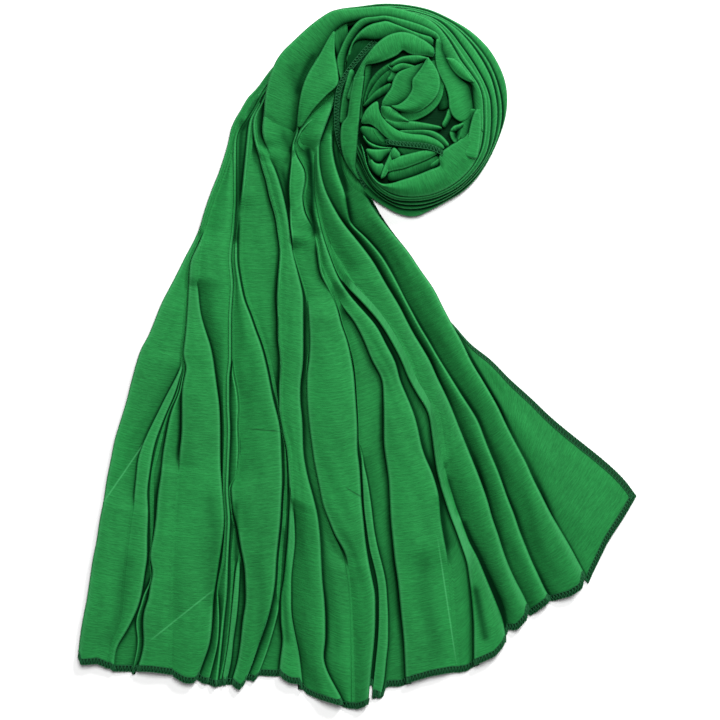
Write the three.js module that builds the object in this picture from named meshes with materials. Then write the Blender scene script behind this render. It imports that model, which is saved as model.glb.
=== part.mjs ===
// A jersey headscarf laid flat: one long rectangle of cloth with overlocked edges.
// One short end is fanned out in long pleats, the middle is gathered through a
// neck, and the rest is wound into a coil, like a rose.
//
// Millimetres, +Z up. The cloth rests on z = 0. Plan positions in the tables are
// on a 720 mm laying board: bx runs to the right and by runs down the scarf,
// from the coil to the hem. BOARD is the board point that the part's origin is on.
import * as THREE from 'three';

const BOARD = { x: 356.46, y: 354.94 };
const WALL = 1.2;            // cloth and the air pressed into its nap
const COIL_WALL = 1.0;       // where the cloth is wound tighter
const EDGE_WALL = 1.7;       // cloth and the overlock thread round its edge
const PITCH = 2.4;           // from the middle of one layer to the next in a fold
const SEAM = 0.3;            // between pieces that meet
const REST = 0.02;           // the lowest layer's clearance over the surface
const BAND = 6.5;            // width of the overlocked edge
const NOSE = 0.75;           // how far back a fold's round edge starts
const COIL = { x: 426, y: 108, height: 33, shoulder: 47 };

// ---- the fan's folds, left to right. `side` is the side that the upper layer's
// edge looks to; `from` is where the fold starts; tuck is how far the cloth is
// folded under; then the fold's bx at each by, and its end on the hem.
const LEVELS = [170, 230, 290, 350, 410, 470, 530];
const FOLDS = [
  { name: 'side',    side: 'L', from: 0,   tuck: 16, x: [220, 199, 169, 141, 124, 109, 98],  hemX: 78,  hemY: 658 },
  { name: 'first',   side: 'L', from: 225, tuck: 14, x: [226, 203, 188, 184, 172, 162, 154], hemX: 136, hemY: 671 },
  { name: 'second',  side: 'R', from: 275, tuck: 11, x: [231, 209, 198, 211, 218, 219, 220], hemX: 197, hemY: 675 },
  { name: 'third',   side: 'R', from: 0,   tuck: 8,  x: [241, 236, 233, 231, 230, 230, 231], hemX: 217, hemY: 686 },
  { name: 'fourth',  side: 'R', from: 250, tuck: 14, x: [250, 243, 243, 262, 276, 282, 279], hemX: 246, hemY: 677 },
  { name: 'fifth',   side: 'L', from: 0,   tuck: 8,  x: [262, 277, 278, 279, 282, 290, 289], hemX: 279, hemY: 675 },
  { name: 'sixth',   side: 'R', from: 0,   tuck: 8,  x: [276, 290, 302, 303, 301, 306, 319], hemX: 346, hemY: 707 },
  { name: 'seventh', side: 'R', from: 270, tuck: 14, x: [305, 313, 329, 351, 356, 359, 364], hemX: 368, hemY: 700 },
  { name: 'eighth',  side: 'L', from: 300, tuck: 9,  x: [308, 319, 337, 366, 384, 388, 392], hemX: 404, hemY: 684 },
  { name: 'ninth',   side: 'R', from: 190, tuck: 12, x: [313, 325, 346, 389, 412, 431, 442], hemX: 446, hemY: 673 },
  { name: 'tenth',   side: 'L', from: 300, tuck: 10, x: [319, 336, 354, 397, 425, 440, 456], hemX: 474, hemY: 665 },
  { name: 'eleventh', side: 'R', from: 0, tuck: 12, x: [332, 349, 389, 423, 452, 476, 496], hemX: 530, hemY: 610 },
  { name: 'twelfth', side: 'R', from: 200, tuck: 10, x: [341, 358, 401, 434, 471, 497, 519], hemX: 551, hemY: 600 },
  { name: 'last',    side: 'R', from: 200, tuck: 8,  x: [350, 389, 434, 465, 499, 529, 560], hemX: 586, hemY: 577 },
];
// which folds end one stretch of the fan and start the next
const STRETCHES = [
  { node: 'fan_left', edge: 'hem_left', a: 0, b: 3 },
  { node: 'fan_middle', edge: 'hem_middle', a: 3, b: 6 },
  { node: 'fan_middle_right', edge: 'hem_middle_right', a: 6, b: 11 },
  { node: 'fan_right', edge: 'hem_right', a: 11, b: 13 },
];
// the corner flap's free side edge, from under the last fold to the scarf's corner
const FLAP = { startX: 452, startY: 324, cornerX: 636, cornerY: 496, bow: 3 };

// ---- the neck: stations from the fan's top to the coil, with the outer edge
// (o), the inner overlocked edge (i) and three folds between them, as shares of
// the way from the outer edge to the inner one
const NECK = [
  { ox: 221, oy: 171, ix: 350, iy: 171, f1: 0.12, f2: 0.48, f3: 0.80, rise: 0.8 },
  { ox: 229, oy: 140, ix: 340, iy: 143, f1: 0.12, f2: 0.52, f3: 0.82, rise: 6 },
  { ox: 242, oy: 108, ix: 334, iy: 112, f1: 0.20, f2: 0.56, f3: 0.82, rise: 12 },
  { ox: 262, oy: 79,  ix: 338, iy: 86,  f1: 0.20, f2: 0.54, f3: 0.80, rise: 18 },
  { ox: 290, oy: 46,  ix: 346, iy: 74,  f1: 0.22, f2: 0.52, f3: 0.78, rise: 23 },
  { ox: 318, oy: 24,  ix: 356, iy: 61,  f1: 0.22, f2: 0.50, f3: 0.76, rise: 27 },
  { ox: 357.2, oy: 10.6, ix: 381, iy: 44.3, f1: 0.22, f2: 0.50, f3: 0.76, rise: 30 },
];
// ---- the coil's outer turn: pleats from the inside out, each one's distance
// from the coil's middle on eight bearings (n is up the board, e to the right)
const BEARINGS = ['nw', 'n', 'ne', 'e', 'se', 's', 'sw', 'w'];
const OUTER = [
  { pleat: 'inner rim', nw: 78, n: 70, ne: 42, e: 36, se: 46, s: 70, sw: 55, w: 54 },
  { pleat: 'top fold',  nw: 92, n: 80, ne: 56, e: 51, se: 58, s: 82, sw: 66, w: 63 },
  { pleat: 'low fold',  nw: 107, n: 90, ne: 71, e: 66, se: 70, s: 94, sw: 77, w: 73 },
  { pleat: 'outer rim', nw: 121, n: 99, ne: 86, e: 81, se: 82, s: 106, sw: 87, w: 82 },
];
// the hidden layers' own outline, clear of the neck
const CORE = { nw: 74, n: 90, ne: 79, e: 74, se: 75, s: 97, sw: 80, w: 74 };
// the inner turn: the same, inside the outer one
const INNER = [
  { pleat: 'inner rim', nw: 54, n: 53, ne: 25, e: 14, se: 14, s: 18, sw: 28, w: 40 },
  { pleat: 'outer rim', nw: 68, n: 63, ne: 35, e: 27, se: 36, s: 58, sw: 43, w: 50 },
];
// the two petals of the rose's heart: stations along each, with its outer edge
// (o), its inner edge (i) and its height over the coil at both
const HEART = {
  heart_right: [
    { ox: 428, oy: 60,  ix: 424, iy: 61,  oz: 5, iz: 6 },
    { ox: 437, oy: 72,  ix: 414, iy: 78,  oz: 3, iz: 8 },
    { ox: 438, oy: 90,  ix: 412, iy: 88,  oz: 2, iz: 9 },
    { ox: 428, oy: 107, ix: 406, iy: 100, oz: 2, iz: 8 },
    { ox: 406, oy: 115, ix: 398, iy: 106, oz: 2, iz: 5 },
  ],
  heart_left: [
    { ox: 410, oy: 64,  ix: 413, iy: 68,  oz: 6, iz: 4 },
    { ox: 394, oy: 74,  ix: 408, iy: 79,  oz: 8, iz: 3 },
    { ox: 388, oy: 88,  ix: 407, iy: 89,  oz: 8, iz: 3 },
    { ox: 384, oy: 99,  ix: 402, iy: 97,  oz: 6, iz: 3 },
    { ox: 388, oy: 104, ix: 394, iy: 101, oz: 4, iz: 3 },
  ],
};
// short overlocked stretches that show on the coil: stations along each
const COIL_EDGE = [
  { bx: 388, by: 143, rise: 2.2 }, { bx: 402, by: 144, rise: 2.6 },
  { bx: 422, by: 147, rise: 2.6 }, { bx: 439, by: 151, rise: 2.2 },
];

// ---------------------------------------------------------------- helpers
const CLOTH = 0x23873f, EDGE = 0x14502d;
const cloth = () => new THREE.MeshStandardMaterial({ color: CLOTH, roughness: 0.85, metalness: 0 });
const thread = () => new THREE.MeshStandardMaterial({ color: EDGE, roughness: 0.9, metalness: 0 });
const lerp = (a, b, t) => a + (b - a) * t;
const clamp = (v, a, b) => Math.max(a, Math.min(b, v));
const smooth = (t) => { const u = clamp(t, 0, 1); return u * u * (3 - 2 * u); };

// value of a row of numbers at an uneven position, through a cubic
function along(values, places, p) {
  let i = 0;
  while (i < places.length - 2 && p > places[i + 1]) i++;
  const h = places[i + 1] - places[i], t = clamp((p - places[i]) / h, 0, 1);
  const slope = (k) => {
    if (k <= 0) return (values[1] - values[0]) / (places[1] - places[0]);
    if (k >= values.length - 1) return (values[k] - values[k - 1]) / (places[k] - places[k - 1]);
    return (values[k + 1] - values[k - 1]) / (places[k + 1] - places[k - 1]);
  };
  const t2 = t * t, t3 = t2 * t;
  return (2 * t3 - 3 * t2 + 1) * values[i] + (t3 - 2 * t2 + t) * h * slope(i)
    + (-2 * t3 + 3 * t2) * values[i + 1] + (t3 - t2) * h * slope(i + 1);
}
// a closed body from rings of points, one ring for each station
function loft(rings) {
  const n = rings[0].length, pos = [], idx = [];
  for (const r of rings) for (const p of r) pos.push(p.x - BOARD.x, BOARD.y - p.y, p.z);
  for (let s = 0; s + 1 < rings.length; s++) for (let k = 0; k < n; k++) {
    const a = s * n + k, b = s * n + (k + 1) % n, c = a + n, d = b + n;
    idx.push(a, c, b, b, c, d);
  }
  for (const [s, flip] of [[0, false], [rings.length - 1, true]]) {
    // each end of a wall: its two faces zipped together
    const h = n / 2;
    for (let k = 0; k + 1 < h; k++) {
      const a = s * n + k, b = s * n + k + 1, c = s * n + (n - 1 - k), d = s * n + (n - 2 - k);
      const tri = [[a, b, c], [b, d, c]];
      for (const t of tri) idx.push(...(flip ? [t[0], t[2], t[1]] : t));
    }
  }
  const g = new THREE.BufferGeometry();
  g.setAttribute('position', new THREE.Float32BufferAttribute(pos, 3));
  g.setIndex(idx);
  // faces point out
  let vol = 0; const A = new THREE.Vector3(), B = new THREE.Vector3(), C = new THREE.Vector3();
  const P = g.getAttribute('position');
  for (let i = 0; i < idx.length; i += 3) {
    A.fromBufferAttribute(P, idx[i]); B.fromBufferAttribute(P, idx[i + 1]); C.fromBufferAttribute(P, idx[i + 2]);
    vol += A.dot(B.cross(C));
  }
  if (vol < 0) for (let i = 0; i < idx.length; i += 3) [idx[i], idx[i + 1]] = [idx[i + 1], idx[i]];
  g.setIndex(idx);
  g.computeVertexNormals();
  return g;
}
// the two faces of a wall, from the line through its middle. Each point may have
// its own board direction (ux, uy) across the folds; cap turns an end square.
function wall(line, thick) {
  const half = thick / 2, top = [], low = [];
  const step = (a, b) => {
    const u = (b.x - a.x) * a.ux + (b.y - a.y) * a.uy, w = b.z - a.z, l = Math.hypot(u, w) || 1;
    return [u / l, w / l];
  };
  for (let i = 0; i < line.length; i++) {
    const p = line[i];
    const before = i > 0 ? step(line[i - 1], p) : step(p, line[i + 1]);
    const after = i + 1 < line.length ? step(p, line[i + 1]) : before;
    let nu = -(before[1] + after[1]), nw = before[0] + after[0];
    const l = Math.hypot(nu, nw) || 1; nu /= l; nw /= l;
    const miter = 1 / Math.max(0.62, nu * -after[1] + nw * after[0]);
    if (p.cap) { nu = p.cap; nw = 0; }
    const o = half * (p.cap ? 0.9 : miter);
    top.push({ x: p.x + p.ux * nu * o, y: p.y + p.uy * nu * o, z: p.z + nw * o });
    low.push({ x: p.x - p.ux * nu * o, y: p.y - p.uy * nu * o, z: p.z - nw * o });
  }
  return top.concat(low.reverse());
}
// points of one fold: distance across from its edge, and layer above the lowest
const SHAPE = {
  R: (d) => [[-NOSE, 2], [0, 1.5], [-NOSE, 1], [-d + NOSE, 1], [-d, 0.5], [-d + NOSE, 0]],
  L: (d) => [[d - NOSE, 0], [d, 0.5], [d - NOSE, 1], [NOSE, 1], [0, 1.5], [NOSE, 2]],
};
// the middle line of a folded sheet at one station. folds: {x, y, side, tuck, on}
// in order; base(x, y) is the height that the cloth lies on.
function foldedLine(folds, base, first, last) {
  const n = folds.length, line = [];
  const dir = folds.map((f, k) => {
    const a = folds[Math.max(0, k - 1)], b = folds[Math.min(n - 1, k + 1)];
    const l = Math.hypot(b.x - a.x, b.y - a.y) || 1;
    return { ux: (b.x - a.x) / l, uy: (b.y - a.y) / l };
  });
  // from one fold's edge to the next, measured along the row as a whole
  const end = folds[n - 1], span = Math.hypot(end.x - folds[0].x, end.y - folds[0].y);
  const rowDir = { ux: (end.x - folds[0].x) / span, uy: (end.y - folds[0].y) / span };
  const gap = (k) => Math.abs((folds[k + 1].x - folds[k].x) * rowDir.ux + (folds[k + 1].y - folds[k].y) * rowDir.uy);
  const put = (f, u, dx, level, extra) => {
    const x = f.x + u.ux * dx, y = f.y + u.uy * dx;
    line.push({ x, y, z: base(x, y) + REST + WALL / 2 + Math.max(0, level) * PITCH, ...u, ...extra });
  };
  // a tuck stays clear of the fold that it reaches towards
  const tucks = folds.map((f, k) => {
    const room = f.side === 'R'
      ? (k > 0 ? (folds[k - 1].side === 'L' ? gap(k - 1) * 0.5 - 1.6 : gap(k - 1) - 5.8) : 99)
      : (k < n - 1 ? (folds[k + 1].side === 'R' ? gap(k) * 0.5 - 1.6 : gap(k) - 5.8) : 99);
    const near = Math.min(k > 0 ? gap(k - 1) : 99, k < n - 1 ? gap(k) : 99);
    return {
      d: clamp(Math.min(f.tuck, room), 2.5, 99), on: f.on * smooth((room - 2.1) / 1.2),
      spread: Math.min(0.9, near * 0.12),
    };
  });
  for (let k = first; k <= last; k++) {
    const f = folds[k], u = dir[k], { d, on, spread } = tucks[k];
    const pts = SHAPE[f.side](d).map(([dx, lv], j) => [
      lerp((j - 2.5) * spread, dx, on), lerp(0.9, lv, on)]);
    // one stretch ends inside the fold's back edge and the next starts there
    const back = f.side === 'R' ? 4 : 1;
    let a = 0, b = 5, capA = 0, capB = 0;
    if (k === first && k > 0) { a = back; capA = 1; }
    if (k === last) { b = back; capB = 1; }
    for (let j = a; j <= b; j++) {
      const cut = (capA && j === a) || (capB && j === b);
      const way = !cut ? 0 : (capB && j === b ? -1 : 1), folded = on > 0.6;
      const across = way * SEAM * 1.6 * (1 - on) * (f.side === 'R' && folded ? -0.2 : 1);
      const rise = (SEAM / 2 + 0.05 + 0.5 * on * (1 - on)) * on / PITCH * (f.side === 'R' ? -way : way);
      put(f, u, pts[j][0] + across, pts[j][1] + rise,
        cut && folded ? { cap: f.side === 'R' ? 1 : -1 } : {});
    }
    if (k < last) {
      const g = folds[k + 1], W = gap(k);
      const l = Math.hypot(g.x - f.x, g.y - f.y), v = { ux: (g.x - f.x) / l, uy: (g.y - f.y) / l };
      const low1 = f.side === 'R', low2 = g.side === 'L';
      // where the panel comes out from under a fold, and where it goes under one
      const e1 = tucks[k].on, e2 = tucks[k + 1].on;
      const left = lerp(2.5 * tucks[k].spread, 0.8, e1), right = lerp(2.5 * tucks[k + 1].spread, low2 ? 0.8 : tucks[k + 1].d + 0.9, e2);
      const from = Math.min(left + 0.5, W * 0.45), to = Math.max(W - right - 0.5, W * 0.52);
      const q1 = [low1 ? from : W * 0.38, lerp(0.9, low1 ? 0.1 : (low2 ? 1.7 : 2), e1)];
      const q2 = [low2 ? to : (low1 ? to : W * 0.62), lerp(0.9, low2 ? 0.1 : (low1 ? 1.8 : 2), e2)];
      put(f, v, q1[0] * l / W, q1[1]);
      put(f, v, q2[0] * l / W, q2[1]);
    }
  }
  return line;
}
const group = new THREE.Group();
const add = (name, geometry, material) => {
  const m = new THREE.Mesh(geometry, material);
  m.name = name;
  group.add(m);
};

// ---------------------------------------------------------------- the fan
const TOP = 172;
function fanFolds(t) {
  return FOLDS.map((f) => {
    const y = lerp(TOP, f.hemY, t);
    const x = along([...f.x, f.hemX], [...LEVELS, f.hemY], y);
    return { x, y, side: f.side, tuck: f.tuck * (0.75 + 0.25 * t), on: f.from ? smooth((y - f.from) / 40) : 1 };
  });
}
const flat = () => 0;
const bandShare = BAND / 500, gapShare = 0.6 / 405;
const STATIONS = [0, 0.09, 0.19, 0.31, 0.44, 0.58, 0.72, 0.86];
for (const s of STRETCHES) {
  const rings = [...STATIONS, 1 - bandShare - gapShare].map((t) =>
    wall(foldedLine(fanFolds(t), flat, s.a, s.b), WALL));
  add(s.node, loft(rings), cloth());
  const hem = [1 - bandShare, 1].map((t) => wall(foldedLine(fanFolds(t), () => (EDGE_WALL - WALL) / 2, s.a, s.b), EDGE_WALL));
  add(s.edge, loft(hem), thread());
}

// ---------------------------------------------------------------- the corner flap
// rows run from under the last fold to the free side edge
const lastFold = FOLDS.length - 1;
const flapStart = (FLAP.startY - TOP) / (FOLDS[lastFold].hemY - TOP);
function flapRow(t, fromShare, toShare, wallThick, n) {
  const folds = fanFolds(t), e = folds[lastFold];
  const tuck = e.tuck;
  const f = clamp((t - flapStart) / (1 - flapStart), 0, 1);
  const sx = lerp(FLAP.startX, FLAP.cornerX, f), sy = lerp(FLAP.startY, FLAP.cornerY, f) - FLAP.bow * 4 * f * (1 - f);
  const a = { x: e.x - tuck, y: e.y }, w = Math.hypot(sx - a.x, sy - a.y);
  const u = { ux: (sx - a.x) / w, uy: (sy - a.y) / w }, line = [];
  for (let k = 0; k <= n; k++) {
    const d = lerp(fromShare(w), toShare(w), k / n);
    const lift = 1.3 * smooth((d - tuck - 8) / 30) * smooth((w - d) / 30) * Math.sin(f * 9);
    line.push({ x: a.x + u.ux * d, y: a.y + u.uy * d, z: wallThick / 2 + Math.max(0, lift), ...u });
  }
  return line;
}
const flapStations = [0.12, 0.28, 0.46, 0.64, 0.82].map((f) => lerp(flapStart, 1, f));
add('corner_flap', loft([...flapStations, 1 - bandShare - gapShare].map((t) =>
  wall(flapRow(t, () => SEAM, (w) => w - BAND - SEAM, WALL, 7), WALL))), cloth());
add('hem_corner', loft([1 - bandShare, 1].map((t) =>
  wall(flapRow(t, () => SEAM, (w) => w - BAND - SEAM, EDGE_WALL, 7), EDGE_WALL))), thread());
add('side_edge_corner', loft([...flapStations, 1].map((t) =>
  wall(flapRow(t, (w) => w - BAND, (w) => w, EDGE_WALL, 2), EDGE_WALL))), thread());

// ---------------------------------------------------------------- the coil's form
// distance from the coil's middle on a bearing, from a row of the table
function reach(row, angle) {
  // angle 0 is e, a quarter turn is n; the columns go round from nw clockwise
  const turn = ((0.75 * Math.PI - angle) / (Math.PI / 4) % 8 + 8) % 8;
  const i = Math.floor(turn), t = turn - i, v = (k) => row[BEARINGS[(i + k + 8) % 8]];
  const a = v(-1), b = v(0), c = v(1), d = v(2);
  return b + 0.5 * t * (c - a + t * (2 * a - 5 * b + 4 * c - d + t * (3 * (b - c) + d - a)));
}
function coilHeight(x, y) {
  const dx = x - COIL.x, dy = COIL.y - y, r = Math.hypot(dx, dy), a = Math.atan2(dy, dx);
  const rim = reach(OUTER[OUTER.length - 1], a);
  const inward = rim - r;
  return 1.2 + COIL.height * Math.sin(Math.PI / 2 * clamp(inward / COIL.shoulder, 0, 1));
}
// the hidden turns: one rounded solid under the layers, flat where it rests
function coreRings() {
  const shares = [0.35, 0.6, 0.8, 0.92, 1], rings = [], around = 24;
  const ring = (share, z) => {
    const pts = [];
    for (let k = 0; k < around; k++) {
      const a = k / around * Math.PI * 2, r = reach(CORE, a) * share;
      const x = COIL.x + r * Math.cos(a), y = COIL.y - r * Math.sin(a);
      pts.push({ x, y, z: z === null ? coilHeight(x, y) - SEAM - 1.6 : z });
    }
    return pts;
  };
  rings.push(ring(0.97, 0));
  for (const s of [...shares].reverse()) rings.push(ring(s, null));
  return rings;
}
// like loft, with each end closed to a middle point
function moundLoft(rings) {
  const n = rings[0].length, pos = [], idx = [];
  for (const r of rings) for (const p of r) pos.push(p.x - BOARD.x, BOARD.y - p.y, p.z);
  for (let s = 0; s + 1 < rings.length; s++) for (let k = 0; k < n; k++) {
    const a = s * n + k, b = s * n + (k + 1) % n, c = a + n, d = b + n;
    idx.push(a, b, c, b, d, c);
  }
  for (const [s, flip] of [[0, true], [rings.length - 1, false]]) {
    const mid = rings[s].reduce((m, p) => ({ x: m.x + p.x / n, y: m.y + p.y / n, z: m.z + p.z / n }), { x: 0, y: 0, z: 0 });
    const c = pos.length / 3;
    pos.push(mid.x - BOARD.x, BOARD.y - mid.y, mid.z);
    for (let k = 0; k < n; k++) {
      const a = s * n + k, b = s * n + (k + 1) % n;
      idx.push(...(flip ? [a, c, b] : [a, b, c]));
    }
  }
  const g = new THREE.BufferGeometry();
  g.setAttribute('position', new THREE.Float32BufferAttribute(pos, 3));
  g.setIndex(idx);
  g.computeVertexNormals();
  return g;
}
add('coil_hidden_layers', moundLoft(coreRings()), cloth());

// ---------------------------------------------------------------- the coil's turns
// a turn runs clockwise over the board from one angle to another
function turn(table, fromDeg, toDeg, steps, tuck, lift) {
  const rings = [];
  for (let s = 0; s <= steps; s++) {
    const a = lerp(fromDeg, toDeg, s / steps) * Math.PI / 180;
    const folds = table.map((row) => {
      const r = reach(row, a);
      return { x: COIL.x + r * Math.cos(a), y: COIL.y - r * Math.sin(a), side: 'R', tuck, on: 1 };
    });
    rings.push(wall(foldedLine(folds, (x, y) => coilHeight(x, y) + lift, 0, folds.length - 1), COIL_WALL));
  }
  return loft(rings);
}
add('coil_outer_turn', turn(OUTER, 124.7, -176, 20, 6, 0), cloth());
add('coil_inner_turn', turn(INNER, 184, -158, 18, 5, 0), cloth());

// ---------------------------------------------------------------- the rose's heart
for (const [name, rows] of Object.entries(HEART)) {
  const rings = [];
  for (let s = 0; s < rows.length; s++) {
    const r = rows[s], w = Math.hypot(r.ix - r.ox, r.iy - r.oy), line = [];
    const u = { ux: (r.ix - r.ox) / w, uy: (r.iy - r.oy) / w };
    for (let k = 0; k <= 5; k++) {
      const q = k / 5, x = lerp(r.ox, r.ix, q), y = lerp(r.oy, r.iy, q);
      const crown = Math.min(5, w * 0.22) * Math.sin(Math.PI * q);
      line.push({ x, y, z: COIL.height + 1.2 + WALL / 2 + 0.5 + lerp(r.oz, r.iz, q) + crown, ...u });
    }
    rings.push(wall(line, WALL));
  }
  add(name, loft(rings), cloth());
}

// ---------------------------------------------------------------- the neck
const neckPlace = (row, q) => ({ x: lerp(row.ox, row.ix, q), y: lerp(row.oy, row.iy, q) });
const neckBase = (s, q) => NECK[s].rise * Math.sin(Math.PI * clamp(q * 0.92 + 0.04, 0, 1));
const neckShell = [], neckSolid = [];
NECK.forEach((row, s) => {
  const folds = [
    { ...neckPlace(row, 0.0), side: 'L', tuck: 5, on: 1 },
    { ...neckPlace(row, row.f1), side: 'R', tuck: 5, on: 1 },
    { ...neckPlace(row, row.f2), side: 'L', tuck: 6, on: 1 },
    { ...neckPlace(row, row.f3), side: 'R', tuck: 6, on: 1 },
    { ...neckPlace(row, 1.0), side: 'R', tuck: 5, on: 1 },
  ];
  const w = Math.hypot(row.ix - row.ox, row.iy - row.oy);
  const share = (x, y) => ((x - row.ox) * (row.ix - row.ox) + (y - row.oy) * (row.iy - row.oy)) / (w * w);
  neckShell.push(wall(foldedLine(folds, (x, y) => neckBase(s, share(x, y)), 0, 4), WALL));
  const over = [], under = [];
  for (let k = 0; k <= 8; k++) {
    const q = lerp(0.08, 0.92, k / 8), p = neckPlace(row, q);
    over.push({ ...p, z: Math.max(0.25, neckBase(s, q) - SEAM - 1.5) });
    under.push({ ...p, z: 0 });
  }
  if (s > 0) neckSolid.push(over.concat(under.reverse()));
});
add('neck', loft(neckShell), cloth());
add('neck_hidden_layers', loft(neckSolid), cloth());

// ---------------------------------------------------------------- coil edge stitch
add('coil_edge', loft(COIL_EDGE.map((p) => {
  const u = { ux: 0.1, uy: 0.995 }, line = [];
  for (const d of [-3.2, 0, 3.2]) line.push({ x: p.bx + u.ux * d, y: p.by + u.uy * d, z: coilHeight(p.bx, p.by) + 3 * PITCH + p.rise, ...u });
  return wall(line, EDGE_WALL);
})), thread());

export default group;
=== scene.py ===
"""A hijab headscarf of green jersey, laid flat in a fan with its head end coiled.
Sizes are in millimetres on a laying board (x to the right, y down), and the scarf's own frame is in metres."""
import math

import bpy
import numpy as np
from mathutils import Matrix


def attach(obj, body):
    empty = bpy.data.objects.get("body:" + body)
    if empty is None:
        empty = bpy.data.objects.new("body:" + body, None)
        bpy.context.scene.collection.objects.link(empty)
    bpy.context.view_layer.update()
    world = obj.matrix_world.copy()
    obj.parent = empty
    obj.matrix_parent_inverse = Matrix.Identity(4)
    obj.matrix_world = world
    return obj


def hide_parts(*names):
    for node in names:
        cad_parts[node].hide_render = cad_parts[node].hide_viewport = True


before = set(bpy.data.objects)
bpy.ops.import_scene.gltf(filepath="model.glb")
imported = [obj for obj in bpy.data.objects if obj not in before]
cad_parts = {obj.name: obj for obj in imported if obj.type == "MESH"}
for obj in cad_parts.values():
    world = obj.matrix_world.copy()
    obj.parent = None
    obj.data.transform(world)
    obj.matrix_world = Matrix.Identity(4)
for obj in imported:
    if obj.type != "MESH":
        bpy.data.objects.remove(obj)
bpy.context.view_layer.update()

BOARD_X, BOARD_Y = 356.46, 354.94
EYE_X, EYE_Y, EYE_UP = 360.0, 360.0, 2400.0

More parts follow.
